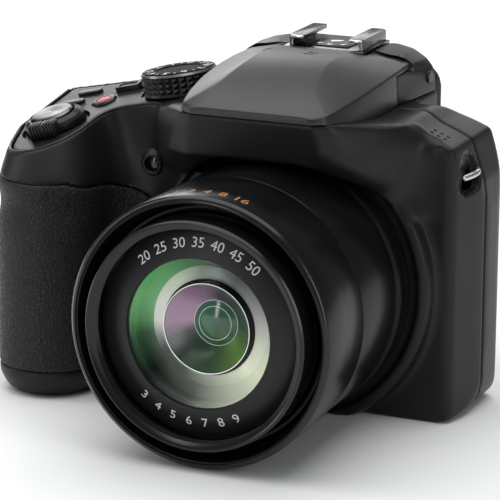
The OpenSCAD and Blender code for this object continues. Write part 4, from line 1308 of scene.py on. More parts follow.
    def build_plate(self, bench: Bench, inset: Solid) -> None:
        """Builds the top plate on the grip side.

        Args:
            bench: where it goes.
            inset: the blank drawn in to the plate's edge, which is used up.
        """
        plate = inset.meet(self.deck_slab(-self.plate_t, 0, LAYOUT.hump_left - 0.15))
        plate.melted(0.45, 3).thinned(0.4)
        deck = LAYOUT.deck_spot(*LAYOUT.deck_at[:2])
        plate.cut(
            Solid.drum(deck, 9.5, -1, 30),
            Solid.drum(deck, 2.9, -20, 30),
            Solid.drum(LAYOUT.dial_spot(), 11.0, -0.3, 30),
            Solid.drum(LAYOUT.dial_spot(), 2.05, -20, 30),
            Solid.drum(LAYOUT.deck_spot(-42.5, -1), 3.6, -20, 30),
        )
        for x, y in TopControls().bars:
            plate.cut(TopControls.bar(x, y, 3.7, 1.6, -20, 30))
        slot = LAYOUT.deck_spot(-36.5, 5.5)
        plate.cut(Solid.box((-5.3, -1.8, -20), (5.3, 1.8, 30), slot))
        bench.place(plate, "top_plate", Look.SHELL, "top_cover")

    def build_rubber(self, bench: Bench, blank: Solid, core: Solid) -> None:
        """Builds the grip's leathered rubber.

        Args:
            bench: where it goes.
            blank: the smooth body, which is used up.
            core: the body under the rubber.
        """
        rubber = blank.grown(0.12).meet(self.rubber_zone(0)).cut(core.copy())
        bench.place(rubber.melted(0.5, 4).thinned(0.4), "grip_leather", Look.LEATHER, "grip_rubber")

    def build_front(self, bench: Bench, solid: Solid, insides: list[Solid], core: Solid) -> None:
        """Builds the front cover.

        Args:
            bench: where it goes.
            solid: the trimmed body, which is used up.
            insides: its cavity and the top plate's pocket, which are used up.
            core: the body under the rubber, which is used up.
        """
        lens = LAYOUT.lens_spot()
        lamp = LAYOUT.rear_spot(*self.lamp_at, 0)
        recess = Solid.drum(lens, self.recess_r, self.recess_floor, 120, steps=160)
        recess.meet(Solid.box((-FAR, -FAR, -FAR), (FAR, FAR, self.recess_high)), solver="EXACT")
        solid.meet(Solid.box((-FAR, -FAR, -FAR), (FAR, self.split - self.seam, FAR)))
        solid.cut(
            recess, self.rubber_zone(0.16).cut(core),
            *[self.lug_recess(s, y, z) for s, _, y, z in self.lugs]
        )
        solid.melted(0.5, 4).thinned(0.5)
        rim = [
            (0, -9), (0, -12.6), (1.95, -12.6), (2.15, -12.9), (2.6, -13), (3, -12.7), (3.3, -12.1),
            (3.6, -11.6)
        ]
        solid.join(Solid.turned(rim + [(3.9, -11.2), (3.9, -9)], lamp, 64))
        holes = [Solid.drum(lens, 32.8, 0, 16, steps=160), Solid.drum(lamp, 2.0, -20, -5, steps=48)]
        holes.append(Solid.box((0.4, -30.4, 72.7), (32.4, -11.5, 83)))
        holes.append(Solid.drum(LAYOUT.deck_spot(*LAYOUT.deck_at[:2]), 2.9, -6, 20))
        for x in (53.2, 55.0, 56.8):
            for y in (-6.8, -4.4):
                holes.append(Solid.drum(Matrix.Translation((x, y, 0)), 0.5, 68, 90, steps=16))
        solid.cut(*insides, *holes, *self.underside_cuts())
        bench.place(solid, "front_shell", Look.SHELL, "front_cover")

    def build_rear(self, bench: Bench, solid: Solid, insides: list[Solid]) -> None:
        """Builds the rear cover.

        Args:
            bench: where it goes.
            solid: the trimmed body, which is used up.
            insides: its cavity and the top plate's pocket, which are used up.
        """
        solid.meet(Solid.box((-FAR, self.split + self.seam, -FAR), (FAR, FAR, FAR)))
        solid.cut(*[self.lug_recess(s, y, z) for s, _, y, z in self.lugs]).melted(0.6, 3).thinned(0.5)
        rear = RearControls()
        holes = [rear.screen_block(0.15, self.rear - 0.8, self.rear + 8)]
        holes.append(Solid.drum(LAYOUT.rear_spot(*rear.pad_at, self.rear), rear.pad_r + 0.3, -5, 4))
        for spot in rear.buttons.values():
            holes.append(Solid.drum(LAYOUT.rear_spot(*spot, self.rear), rear.button_r + 0.3, -5, 4))
        wheel = Matrix.Translation(rear.wheel_at)
        holes.append(Solid.drum(wheel, rear.wheel_r + 0.3, -rear.wheel_t / 2 - 0.3, rear.wheel_t / 2 + 0.3))
        holes.append(Solid.box((5.4, 15, 63.5), (27.4, 40, 78.5)))
        holes.append(Solid.drum(LAYOUT.side_spot(37, 25, 70), 1.6, 0, 10, steps=32))
        holes.append(Solid.box((-70, 5.3, 23.7), (-63.2, 14.3, 52.3)))
        holes += [Solid.box((-70, 6.5, z - 4.2), (-59.1, 11.2, z + 4.2)) for z in (32, 44)]
        holes.append(Solid.box((-5.3, -1.8, -6), (5.3, 1.8, 30), LAYOUT.deck_spot(*TopControls().switch_at)))
        solid.cut(*insides, *holes, *self.underside_cuts())
        bench.place(solid, "rear_shell", Look.SHELL, "rear_cover")

    def build_trim(self, bench: Bench) -> None:
        """Builds the assist lamp and the strap wires.

        Args:
            bench: where they go.
        """
        lamp = LAYOUT.rear_spot(*self.lamp_at, 0)
        dome = [(0, -12.2), (1.0, -12.1), (1.9, -11.7), (1.9, -9.5), (0, -9.5)]
        bench.place(Solid.turned(dome, lamp, 48), "assist_window", Look.LAMP, "assist_lamp")
        wires = [self.strap_wire(*lug) for lug in self.lugs]
        bench.place(wires[0].heap(wires[1]), "strap_wires", Look.STEEL, "strap_lugs")

    @staticmethod
    def strap_wire(side: int, x: float, y: float, z: float) -> Solid:
        """Builds one strap wire, bowed out of its pocket.

        Args:
            side: -1 for the grip side, 1 for the lens side.
            x: how far out its ends are held.
            y: its middle along.
            z: its height.

        Returns:
            The wire.
        """
        reach = 64.2 - x
        path = (
            (-5.6, 0, 0), (-3.8, 0.2, 0), (-2.2, 0.9, 0.3), (0.2, 1, 0.4), (2.4, 0.8, 0.3), (4, 0.2, 0),
            (5.6, 0, 0)
        )
        loops = []
        for along, out, up in path:
            middle = Vector((side * (x + reach * out), y + along, z + up))
            turns = [math.tau * i / 20 for i in range(20)]
            loops.append([middle + Vector((0.85 * math.cos(a), 0, 0.85 * math.sin(a))) for a in turns])
        return Solid.lofted(loops).modified("SUBSURF", levels=1, render_levels=1)


@dataclass
class FlashHead:
    """Hump over the lens: the flash cover that swings up, the block behind it and the hot shoe."""

    back: float = 31.5
    split: float = 8.2
    side_split: float = 5.0
    cheek_low: float = 87.0
    hinge: Flat = (15.2, 88.4)
    cheek_r: float = 1.7
    block_half: float = 12.3
    shoe_floor: float = 91.5
    shoe_front: float = 11.6
    shoe_back: float = 28.4

    @staticmethod
    def mirrored(corners: Iterable[Point]) -> Solid:
        """Wraps corners, given as half width, along and height, on both sides of the hump's middle."""
        x = LAYOUT.hump_x
        return Solid.hull([(x + sign * half, y, z) for half, y, z in corners for sign in (-1, 1)])

    def lid(self) -> Solid:
        """Returns the faceted flash cover, running past its lower edge and to the back."""
        foot = [
            (16.5, -36, 77), (20, -34, 77), (22.6, -27, 77), (23.9, -14, 77), (24.3, 0, 77), (24.2, 19, 77)
        ]
        crease = [
            (16.4, -36.4, 83.2), (19.6, -34, 83.9), (20.7, -30, 84.5), (21.7, -25, 85.2), (22.4, -20, 85.8),
            (23, -15, 86.4), (23.3, -10, 86.9), (23.6, -5, 87.3), (23.7, 0, 87.7), (23.6, 8, 88.1),
            (22.9, 19, 88.3),
        ]
        face = [
            (14.2, -36.4, 83.9), (14.2, -34, 84.7), (13.8, -30, 86.3), (13, -25, 88.3), (12.2, -20, 89.9),
            (11.3, -15, 91.2), (10.8, -10, 92.1), (10.6, -5, 92.5), (10.6, 0, 92.5), (10.6, 8, 91.9),
            (10.6, 19, 91),
        ]
        return self.mirrored(foot + crease + face)

    @staticmethod
    def lid_space(gap: float) -> Solid:
        """Returns everything above the flash cover's lower edge, lowered by a gap."""
        edge = [(-80, 82), (-34.5, 82), (-28, 80.5), (-22, 79.7), (-13, 79.3), (80, 79.3)]
        return Solid.prism([(y, z - gap) for y, z in edge] + [(80, FAR), (-80, FAR)], -FAR, FAR, Plane.SIDE)

    def lid_room(self, gap: float) -> Solid:
        """Returns the room that the flash cover leaves free in the front cover."""
        return self.lid().grown(gap).meet(self.lid_space(gap), solver="EXACT")

    def flash_room(self, gap: float) -> Solid:
        """Returns the room of the flash cover ahead of its hinge, grown by a gap."""
        x, (y, z) = LAYOUT.lens_x, self.hinge
        room = Solid.box((-FAR, -FAR, 0), (FAR, self.side_split + gap, FAR))
        inner = self.block_half + 0.3 - gap
        room.join(Solid.box((x - inner, 0, 0), (x + inner, self.split + gap, FAR)), solver="EXACT")
        for low_x, high_x in ((x + inner, FAR), (-FAR, x - inner)):
            room.join(
                Solid.box((low_x, 0, self.cheek_low - gap), (high_x, y, FAR)),
                Solid.drum(LAYOUT.side_spot(0, y, z), self.cheek_r + gap, low_x, high_x),
                solver="EXACT",
            )
        return room.meet(self.lid_space(gap), solver="EXACT")

    def build(self, bench: Bench) -> None:
        """Builds and places the hump's pieces.

        Args:
            bench: where they go.
        """
        self.build_flash(bench)
        self.build_block(bench)
        self.build_shoe(bench)

    def build_flash(self, bench: Bench) -> None:
        """Builds the flash cover with its microphone slits.

        Args:
            bench: where it goes.
        """
        x, middle = LAYOUT.lens_x, LAYOUT.hump_x
        cover = self.lid().bevelled(0.9, 3, 7).meet(self.flash_room(0), solver="EXACT")
        hollow = self.lid().moved(Matrix.Translation((0, 0, -1.8)))
        hollow.meet(
            Solid.box((middle - 21.4, -31, 70), (middle + 21.4, self.side_split - 1.8, 100)), solver="EXACT"
        )
        cover.cut(hollow, solver="EXACT")
        y, z = self.hinge
        cover.cut(Solid.drum(LAYOUT.side_spot(0, y, z), 0.65, x - 18.6, x + 18.6, steps=32), solver="EXACT")
        pins = [
            Solid.drum(LAYOUT.side_spot(0, y, z), 0.6, x + low, x + low + 11, steps=32)
            for low in (-18.3, 7.3)
        ]
        bench.place(pins[0].heap(pins[1]), "hinge_pins", Look.STEEL, "flash_pins")
        cover.bevelled(0.3, 2, 40)
        for at in (3.5, 17.0):
            for row in (0, 1):
                spot = Matrix.Translation((at + 0.7 * row, -2.2 + 1.7 * row, 89))
                cover.cut(Solid.box((-1.5, -0.34, -1), (1.5, 0.34, 8), spot), solver="EXACT")
        bench.place(cover, "flash_shell", Look.FLASH, "flash_cover", sharp=28)

    def build_block(self, bench: Bench) -> None:
        """Builds the block behind the flash cover, with its rounded crown.

        Args:
            bench: where it goes.
        """
        x, middle, (y, z) = LAYOUT.lens_x, LAYOUT.hump_x, self.hinge
        corners = [
            (24.2, 5, 79), (23.6, 5, 87.6), (10.6, 5, 91.2), (25.6, 20, 79), (25.4, 20, 85), (24, 20, 88),
            (20.5, 20, 90.3), (15.5, 20, 91.2), (26.2, 28, 79), (26, 28, 84.6), (25.4, 28, 85.8),
            (23.7, 28, 87.8),
            (20, 28, 90), (15.7, 28, 90.9), (24, self.back, 79), (22.5, self.back, 84), (13, self.back, 87.3),
        ]
        block = self.mirrored(corners).bevelled(0.8, 3, 7)
        block.meet(Solid.box((-FAR, -FAR, 79.3), (FAR, FAR, FAR)), solver="EXACT")
        block.cut(self.flash_room(0.3), solver="EXACT")
        block.join(Solid.box((middle - 20.8, -9, 79.3), (middle + 20.8, 9, 81.7)), solver="EXACT")
        block.cut(
            Solid.box((x - 12.4, 0, self.shoe_floor - 0.95), (x + 12.4, self.shoe_back + 0.6, FAR)),
            Solid.box((x - 21.5, 21, 70), (x + 21.5, 28.5, 84)),
            Solid.drum(LAYOUT.side_spot(x, 24.5, 83.4), 2.0, 10, 60, steps=32),
            solver="EXACT",
        )
        cap = [(0, 36.5), (1.8, 36.5), (1.8, 40.9), (1.5, 41.3), (0, 41.4)]
        release = Solid.turned(cap, LAYOUT.side_spot(0, 24.5, 83.4), 48)
        bench.place(release, "release_cap", Look.CONTROL, "flash_release")
        bench.place(block.bevelled(0.22, 2, 40), "hump_block", Look.SHELL, "hump_cover", sharp=28)

    def build_shoe(self, bench: Bench) -> None:
        """Builds the hot shoe's plate with folded rails, its front bar and its contact pad.

        Args:
            bench: where they go.
        """
        x, floor = LAYOUT.lens_x, self.shoe_floor
        front, back = self.shoe_front, self.shoe_back
        shoe = Solid.box((x - 11.5, 9.6, floor - 0.9), (x + 11.5, back, floor))
        for sign in (-1, 1):
            lip = [(x + sign * u, v) for u, v in ((6.3, front), (10.4, front), (10.4, back), (6.3, back))]
            shoe.join(Solid.prism(lip, floor + 1.9, floor + 2.84, Plane.PLAN, 0.9, 4), solver="EXACT")
            side = sorted((x + sign * 9.4, x + sign * 10.4))
            shoe.join(Solid.box((side[0], front, floor - 0.1), (side[1], back, floor + 2.6)), solver="EXACT")
        bench.place(shoe.bevelled(0.4, 3, 40), "shoe_rails", Look.DARK_CHROME, "hot_shoe", sharp=50)
        bar = Solid.box((x - 11.2, 9.3, floor - 0.6), (x + 11.2, 10.1, floor + 0.12)).bevelled(0.2, 2)
        bench.place(bar, "shoe_bar", Look.SATIN, "hot_shoe", replaces=False)
        tips = []
        for sign in (-1, 1):
            tip = Solid.box((-1.9, -0.4, -0.5), (1.9, 0.5, 0.5)).bevelled(0.4, 3)
            tips.append(tip.moved(Matrix.Translation((x + sign * 8.3, front, floor + 2.3))))
        bench.place(tips[0].heap(tips[1]), "rail_tips", Look.BRIGHT, "hot_shoe", replaces=False)
        pad = Solid.box((x - 5.6, front + 1.5, floor), (x + 5.6, back - 1.5, floor + 0.3)).bevelled(0.1, 2)
        bench.place(pad, "shoe_pad", Look.CONTROL, "shoe_contacts")
        dots = [(0, 19.6, 1.6), (-3.4, 15.5, 0.8), (3.4, 15.5, 0.8), (0, 14.4, 0.8), (3.4, 23.6, 0.8)]
        contacts = []
        for dx, y, r in dots:
            profile = [(0, 0.28), (r, 0.28), (r, 0.42), (r - 0.2, 0.5), (0, 0.5)]
            contacts.append(Solid.turned(profile, Matrix.Translation((x + dx, y, floor)), 32))
        bench.place(
            contacts[0].heap(*contacts[1:]), "shoe_dots", Look.BRIGHT, "shoe_contacts", replaces=False
        )


@dataclass
class Lens:
    """Fixed barrel, two sliding tubes, the ring round the glass and the glasses."""

    barrel_r: float = 34.2
    flange_r: float = 34.9
    bore: float = 31.3
    front: float = 71.0
    root: float = 6.5
    housing_r: float = 32.5
    recess_floor: float = 15.3
    middle_r: float = 31.0
    front_r: float = 29.4
    tube_t: float = 1.3
    tube_front: float = 74.0
    filter_r: float = 27.2
    ring_edge: Flat = (27.05, 68.25)
    ring_lip: Flat = (19.45, 71.05)
    apex: float = 71.15
    glass_r: float = 20.2

    def build(self, bench: Bench) -> None:
        """Builds and places the lens from the outside in.

        Args:
            bench: where the pieces go.
        """
        spot = LAYOUT.lens_spot()
        self.build_barrel(bench, spot)
        self.build_tubes(bench, spot)
        self.build_glass(bench, spot)
        self.build_figures(bench, spot)

    def build_barrel(self, bench: Bench, spot: Matrix) -> None:
        """Builds the fixed barrel with its base ring, groove, flange and trim.

        Args:
            bench: where it goes.
            spot: the lens axis.
        """
        b, f, r = self.barrel_r, self.front, self.flange_r
        profile = [
            (self.bore, self.root), (self.housing_r, self.root), (self.housing_r, self.recess_floor),
            (b + 0.5, self.recess_floor), (b + 0.5, f - 48.6), (b - 0.2, f - 48.2), (b - 0.2, f - 47.4),
            (b, f - 47.0), (b, f - 24.6), (b - 0.35, f - 24.4), (b - 0.35, f - 23.9), (b + 0.3, f - 23.6),
            (b + 0.4, f - 15.5), (r, f - 11.5), (r, f - 1.2), (r - 0.5, f - 0.7), (r - 1.4, f - 0.25),
            (self.bore + 1.6, f - 0.3), (self.bore + 1.2, f - 1.2), (self.bore, f - 8),
        ]
        bench.place(
            Solid.turned(profile, spot, 160, 0.25), "barrel_sleeve", Look.BARREL, "lens_barrel", sharp=40
        )
        trim = [
            (r - 0.6, f - 1.3), (r, f - 1.2), (r, f - 0.95), (r - 0.9, f - 0.1), (r - 1.35, f),
            (r - 1.5, f - 0.6)
        ]
        bench.place(
            Solid.turned(trim, spot, 160), "barrel_trim", Look.RIM, "lens_barrel", replaces=False, sharp=50
        )

    def build_tubes(self, bench: Bench, spot: Matrix) -> None:
        """Builds the two sliding tubes, with the filter thread and the ring round the glass.

        Args:
            bench: where they go.
            spot: the lens axis.
        """
        m, t, root = self.middle_r, self.tube_t, self.root
        middle = [(m - t, root + 1.5), (m, root + 1.5), (m, self.front - 7.2), (m - t, self.front - 7.2)]
        bench.place(
            Solid.turned(middle, spot, 160, 0.2), "sliding_tube", Look.BARREL, "middle_tube", sharp=40
        )
        r, f, c, a = self.front_r, self.tube_front, self.filter_r, self.apex
        tube = [(r - t, root + 3.5), (r, root + 3.5), (r, f - 5.2), (r - 0.15, f - 5), (r - 0.15, f - 4.6)]
        tube += [
            (r, f - 4.4), (r, f - 0.5), (r - 0.4, f - 0.05), (r - 0.7, f), (c + 1.0, f - 0.4),
            (c + 0.4, f - 0.6)
        ]
        pitch, turns = 0.5, 5
        for i in range(turns):
            top = f - 0.75 - i * pitch
            tube += [(c, top), (c + 0.34, top - pitch / 2)]
        tube += [(c, f - 0.75 - turns * pitch), (c + 0.6, f - 3.6), (c + 0.6, a - 4.8)]
        tube += [(self.glass_r + 0.3, a - 4.8), (self.glass_r + 0.3, a - 9), (r - t, a - 9)]
        bench.place(Solid.turned(tube, spot, 160), "front_sleeve", Look.RIM, "front_tube", sharp=25)
        (out, low), (lip, high) = self.ring_edge, self.ring_lip
        ring = [(out, a - 4.6), (out, low), (out - 0.3, low + 0.2), (lip + 0.35, high - 0.05), (lip, high)]
        ring += [(lip - 0.25, high - 0.3), (lip - 0.25, high - 1.6), (lip + 1.6, a - 4.6)]
        bench.place(Solid.turned(ring, spot, 160), "ring_face", Look.RING, "name_ring", sharp=40)

    @staticmethod
    def dome(radius: float, apex: float, curve: float, hollow: float, thick: float) -> list[Flat]:
        """Draws the half section of one glass.

        Args:
            radius: edge of the glass.
            apex: front of the glass.
            curve: radius of its front face.
            hollow: radius of its hollow rear face, or 0 for a flat one.
            thick: thickness on the axis.

        Returns:
            The profile.
        """
        steps = 14
        rows = [radius * i / steps for i in range(steps + 1)]
        front = [(r, apex - curve + math.sqrt(curve * curve - r * r)) for r in rows]
        rear = [
            (r, apex - thick - (hollow - math.sqrt(hollow * hollow - r * r) if hollow else 0)) for r in rows
        ]
        return front + rear[::-1]

    def build_glass(self, bench: Bench, spot: Matrix) -> None:
        """Builds the front glass and the inner parts, with painted reflections, that show through it.

        Args:
            bench: where they go.
            spot: the lens axis.
        """
        front = Solid.turned(self.dome(self.glass_r - 0.9, self.apex - 0.3, 62, 60, 1.8), spot, 128)
        bench.place(front, "front_glass", Look.GLASS, "front_lens", sharp=50)
        # The cup, pale ring, cone and eye carry painted reflections that glow; the neck is plain dark.
        cup = [
            (19.3, 69.2), (19.5, 66.4), (19.2, 66.2), (19.4, 62.9), (15.2, 62.4), (15.2, 61), (20.3, 61),
            (20.3, 69.2)
        ]
        bench.place(
            Solid.turned(cup, spot, 128), "green_cup", Look.GREEN, "front_tube", replaces=False, sharp=20
        )
        pale = [
            (15.5, 62.2), (15.4, 62.8), (14.2, 63.3), (13.2, 63.55), (12.4, 63.6), (12.0, 63.2), (12, 61),
            (15.5, 61)
        ]
        bench.place(
            Solid.turned(pale, spot, 128), "pale_ring", Look.PALE, "front_tube", replaces=False, sharp=50
        )
        neck = [(12.3, 61), (12.3, 63.5), (11.6, 65.5), (11.3, 65.4), (11, 61)]
        bench.place(
            Solid.turned(neck, spot, 128), "dark_neck", Look.INNER, "front_tube", replaces=False, sharp=30
        )
        cone = [(11.35, 65.3), (9.4, 62.6), (7.6, 60.7), (5.9, 59.4), (5.9, 58), (11.35, 58)]
        bench.place(
            Solid.turned(cone, spot, 128), "violet_cone", Look.VIOLET, "front_tube", replaces=False,
            sharp=50
        )
        eye = Solid.turned(self.dome(5.95, 60.6, 13, 0, 3.2), spot, 96)
        bench.place(eye, "green_eye", Look.PUPIL, "front_tube", replaces=False, sharp=50)
        # Thin glowing rings: painted glints at the edges of the glasses.
        lines = []
        for radius, height, width in ((11.5, 65.45, 0.12), (5.85, 59.5, 0.045), (4.35, 60.05, 0.045)):
            steps = [math.tau * i / 8 for i in range(8)]
            circle = [(radius + width * math.cos(a), height + width * math.sin(a)) for a in steps]
            lines.append(Solid.turned(circle, spot, 128))
        bench.place(
            lines[0].heap(*lines[1:]), "glowing_edge_glints", Look.EDGE, "front_tube", replaces=False, sharp=60
        )

    def build_figures(self, bench: Bench, spot: Matrix) -> None:
        """Builds the printed scales: plain figures.

        Args:
            bench: where they go.
            spot: the lens axis.
        """
        (out, low), (lip, high) = self.ring_edge, self.ring_lip
        lean = math.atan2(high - low, out - lip)
        middle = ((out + lip) / 2 - 0.2, (low + high) / 2 + 0.19)
        marks = []
        rows = [(str(20 + 5 * i), 130 - 13 * i) for i in range(7)]
        rows += [(str(3 + i), 230 + 11 * i) for i in range(7)]
        for text, angle in rows:
            place = spot @ Matrix.Rotation(
                math.radians(angle - 90), 4, "Z"
            ) @ Matrix.Translation((0, *middle))
            place = place @ Matrix.Rotation(-lean, 4, "X") @ Matrix.Rotation(
                0 if angle < 180 else math.pi, 4, "Z"
            )
            marks.append(Solid.printed(text, 2.6, place))
        bench.place(marks[0].heap(*marks[1:]), "ring_figures", Look.WHITE, "name_ring", replaces=False)
        figures = []
        for text, angle in (("1", 104), ("2", 97), ("4", 90), ("8", 83), ("16", 75)):
            place = spot @ Matrix.Rotation(math.radians(angle - 90), 4, "Z")
            place = place @ Matrix.Translation((0, self.flange_r + 0.02, self.front - 5.6))
            figures.append(Solid.printed(text, 3.2, place @ Matrix.Rotation(-math.pi / 2, 4, "X")))
        bench.place(
            figures[0].heap(*figures[1:]), "barrel_figures", Look.ORANGE, "lens_barrel", replaces=False
        )


@dataclass
class TopControls:
    """Shutter button, zoom lever, record button, bar buttons, mode dial and power switch."""

    shutter_r: float = 5.65
    lever_r: float = 8.3
    record_at: Flat = (-42.5, -1.0)
    record_r: float = 3.3
    bars: tuple[Flat, ...] = ((-53.0, 1.2), (-50.5, 7.2))
    switch_at: Flat = (-36.5, 5.5)
    dial_r: float = 10.4
    dial_h: float = 6.5
    knurls: int = 30

    @staticmethod
    def bar(x: float, y: float, half: float, radius: float, low: float, high: float) -> Solid:
        """Builds a bar with round ends on the deck.

        Args:
            x: its middle across.
            y: its middle along.
            half: half its length.
            radius: half its width.
            low: its start, from the deck.
            high: its end.

        Returns:
            The bar.
        """
        outline = [(-half, -radius), (half, -radius), (half, radius), (-half, radius)]
        bar = Solid.prism(outline, low, high, Plane.PLAN, radius * 0.96, 8)
        return bar.moved(LAYOUT.deck_spot(x, y))

    def build(self, bench: Bench) -> None:
        """Builds and places every control on the top.

        Args:
            bench: where they go.
        """
        self.build_shutter(bench)
        self.build_buttons(bench)
        self.build_dial(bench)

    def build_shutter(self, bench: Bench) -> None:
        """Builds the spun shutter cap and the zoom lever with its ribbed tab.

        Args:
            bench: where they go.
        """
        deck, r = LAYOUT.deck_spot(*LAYOUT.deck_at[:2]), self.shutter_r
        cap = [
            (0, -4.5), (2.6, -4.5), (2.6, 1.45), (r, 1.45), (r, 3.5), (r - 0.35, 3.85), (r - 0.9, 3.98),
            (2.5, 3.8), (0, 3.72)
        ]
        bench.place(Solid.turned(cap, deck, 96), "shutter_cap", Look.SPUN, "shutter_button", sharp=25)
        out = self.lever_r
        ring = [
            (r + 0.4, -0.7), (out, -0.7), (out, 1.6), (out - 0.5, 2.5), (out - 1.6, 3.2), (r + 1.0, 3.3),
            (r + 0.4, 3.0)
        ]
        lever = Solid.turned(ring, deck, 96, 0.12)
        tab = Solid.prism(
            [(-3.9, -10.4), (3.9, -10.4), (3.9, -6.6), (-3.9, -6.6)], 0.5, 3.9, Plane.PLAN, 0.7, 4
        )
        deck_turn = deck @ Matrix.Rotation(math.radians(6), 4, "Z")
        tab.bevelled(0.3, 2).moved(deck_turn)
        bench.place(lever.join(tab, solver="EXACT"), "zoom_ring", Look.CONTROL, "zoom_lever", sharp=30)
        ribs = []
        for x in (-3.2, -2.35, -1.5, -0.65, 0.65, 1.5, 2.35, 3.2):
            rib = Solid.box((x - 0.24, -10.75, 0.1), (x + 0.24, -6.9, 4.2)).bevelled(0.14, 2)
            ribs.append(rib.moved(deck_turn))
        bench.place(ribs[0].heap(*ribs[1:]), "lever_ribs", Look.CONTROL, "zoom_lever", replaces=False)

    def build_buttons(self, bench: Bench) -> None:
        """Builds the record button with its red dot, the bar buttons and the power switch.

        Args:
            bench: where they go.
        """
        spot, r = LAYOUT.deck_spot(*self.record_at), self.record_r
        cap = [
            (0, -4.6), (r + 1, -4.6), (r + 1, -3.3), (r, -3.3), (r, 0.2), (r - 0.4, 0.65), (2.1, 0.75),
            (1.9, 0.55), (0, 0.55)
        ]
        bench.place(Solid.turned(cap, spot, 64), "record_cap", Look.CONTROL, "record_button", sharp=30)
        dot = [(0, 0.4), (1.88, 0.4), (1.88, 0.6), (1.4, 0.72), (0, 0.76)]
        bench.place(
            Solid.turned(dot, spot, 48), "record_dot", Look.RED, "record_button", replaces=False, sharp=30
        )
        for node, (x, y) in zip(("burst_button", "focus_button"), self.bars):
            cap = self.bar(x, y, 3.7, 1.3, -4.2, 0.8).bevelled(0.3, 3, 40)
            bench.place(cap, f"{node}_cap", Look.CONTROL, node, sharp=30)
        x, y = self.switch_at
        spot = LAYOUT.deck_spot(x, y) @ Matrix.Translation((-1.5, 0, 0))
        slider = Solid.box((-3.5, -1.5, -2.2), (3.5, 1.5, 1.4), spot)
        slider.cut(Solid.box((-2.6, -1.0, 1.15), (2.6, 1.0, 2), spot), solver="EXACT")
        bench.place(slider.bevelled(0.15, 2), "power_slider", Look.CONTROL, "power_switch", sharp=30)

    def build_dial(self, bench: Bench) -> None:
        """Builds the mode dial: a drum with pyramid knurls, a thin bright chamfer and plain figures.

        Args:
            bench: where it goes.
        """
        spot, r, h = LAYOUT.dial_spot(), self.dial_r, self.dial_h
        low, high = 0.9, h - 1.1
        bm = bmesh.new()
        bmesh.ops.create_cone(
            bm, cap_ends=False, segments=self.knurls, radius1=r - 0.75, radius2=r - 0.75, depth=high - low,
            matrix=Matrix.Translation((0, 0, (low + high) / 2)),
        )
        upright = [e for e in bm.edges if abs(e.verts[0].co.z - e.verts[1].co.z) > 1]
        bmesh.ops.subdivide_edges(bm, edges=upright, cuts=2)
        bmesh.ops.poke(bm, faces=bm.faces, offset=0.72)
        for level in (low, high):
            ends = [e for e in bm.edges if all(abs(v.co.z - level) < 1e-3 for v in e.verts)]
            bmesh.ops.contextual_create(bm, geom=ends)
        bmesh.ops.transform(bm, matrix=spot, verts=bm.verts)
        drum = Solid.shaped(bm)
        foot = [(0, -5), (2, -5), (2, 0), (r - 0.6, 0), (r - 0.3, 0.3), (r - 0.6, 1), (0, 1)]
        bench.place(drum.heap(Solid.turned(foot, spot, 96)), "dial_drum", Look.CONTROL, "mode_dial", sharp=20)
        rim = [
            (r - 2, high - 0.1), (r - 0.5, high - 0.1), (r - 0.15, high + 0.2), (r - 0.5, h - 0.3),
            (r - 2, h - 0.3)
        ]
        bench.place(
            Solid.turned(rim, spot, 96), "dial_rim", Look.SATIN, "mode_dial", replaces=False, sharp=30
        )
        face = [(0, high), (r - 0.6, high), (r - 0.6, h - 0.35), (r - 0.9, h - 0.05), (r - 1.2, h)]
        face += [(r - 4.2, h - 0.04), (r - 4.5, h - 0.3), (0, h - 0.34)]
        bench.place(
            Solid.turned(face, spot, 96), "dial_face", Look.DIAL_TOP, "mode_dial", replaces=False, sharp=40
        )
        marks = []
        for i in range(10):
            turn = spot @ Matrix.Rotation(math.tau * i / 10, 4, "Z")
            marks.append(Solid.printed(str(i), 2.7, turn @ Matrix.Translation((0, r - 2.5, h - 0.02))))
            tick = spot @ Matrix.Rotation(math.tau * (i + 0.5) / 10, 4, "Z")
            marks.append(Solid.box((-0.16, r - 2.6, h - 0.2), (0.16, r - 1.5, h + 0.01), tick))
        bench.place(marks[0].heap(*marks[1:]), "dial_figures", Look.WHITE, "mode_dial", replaces=False)


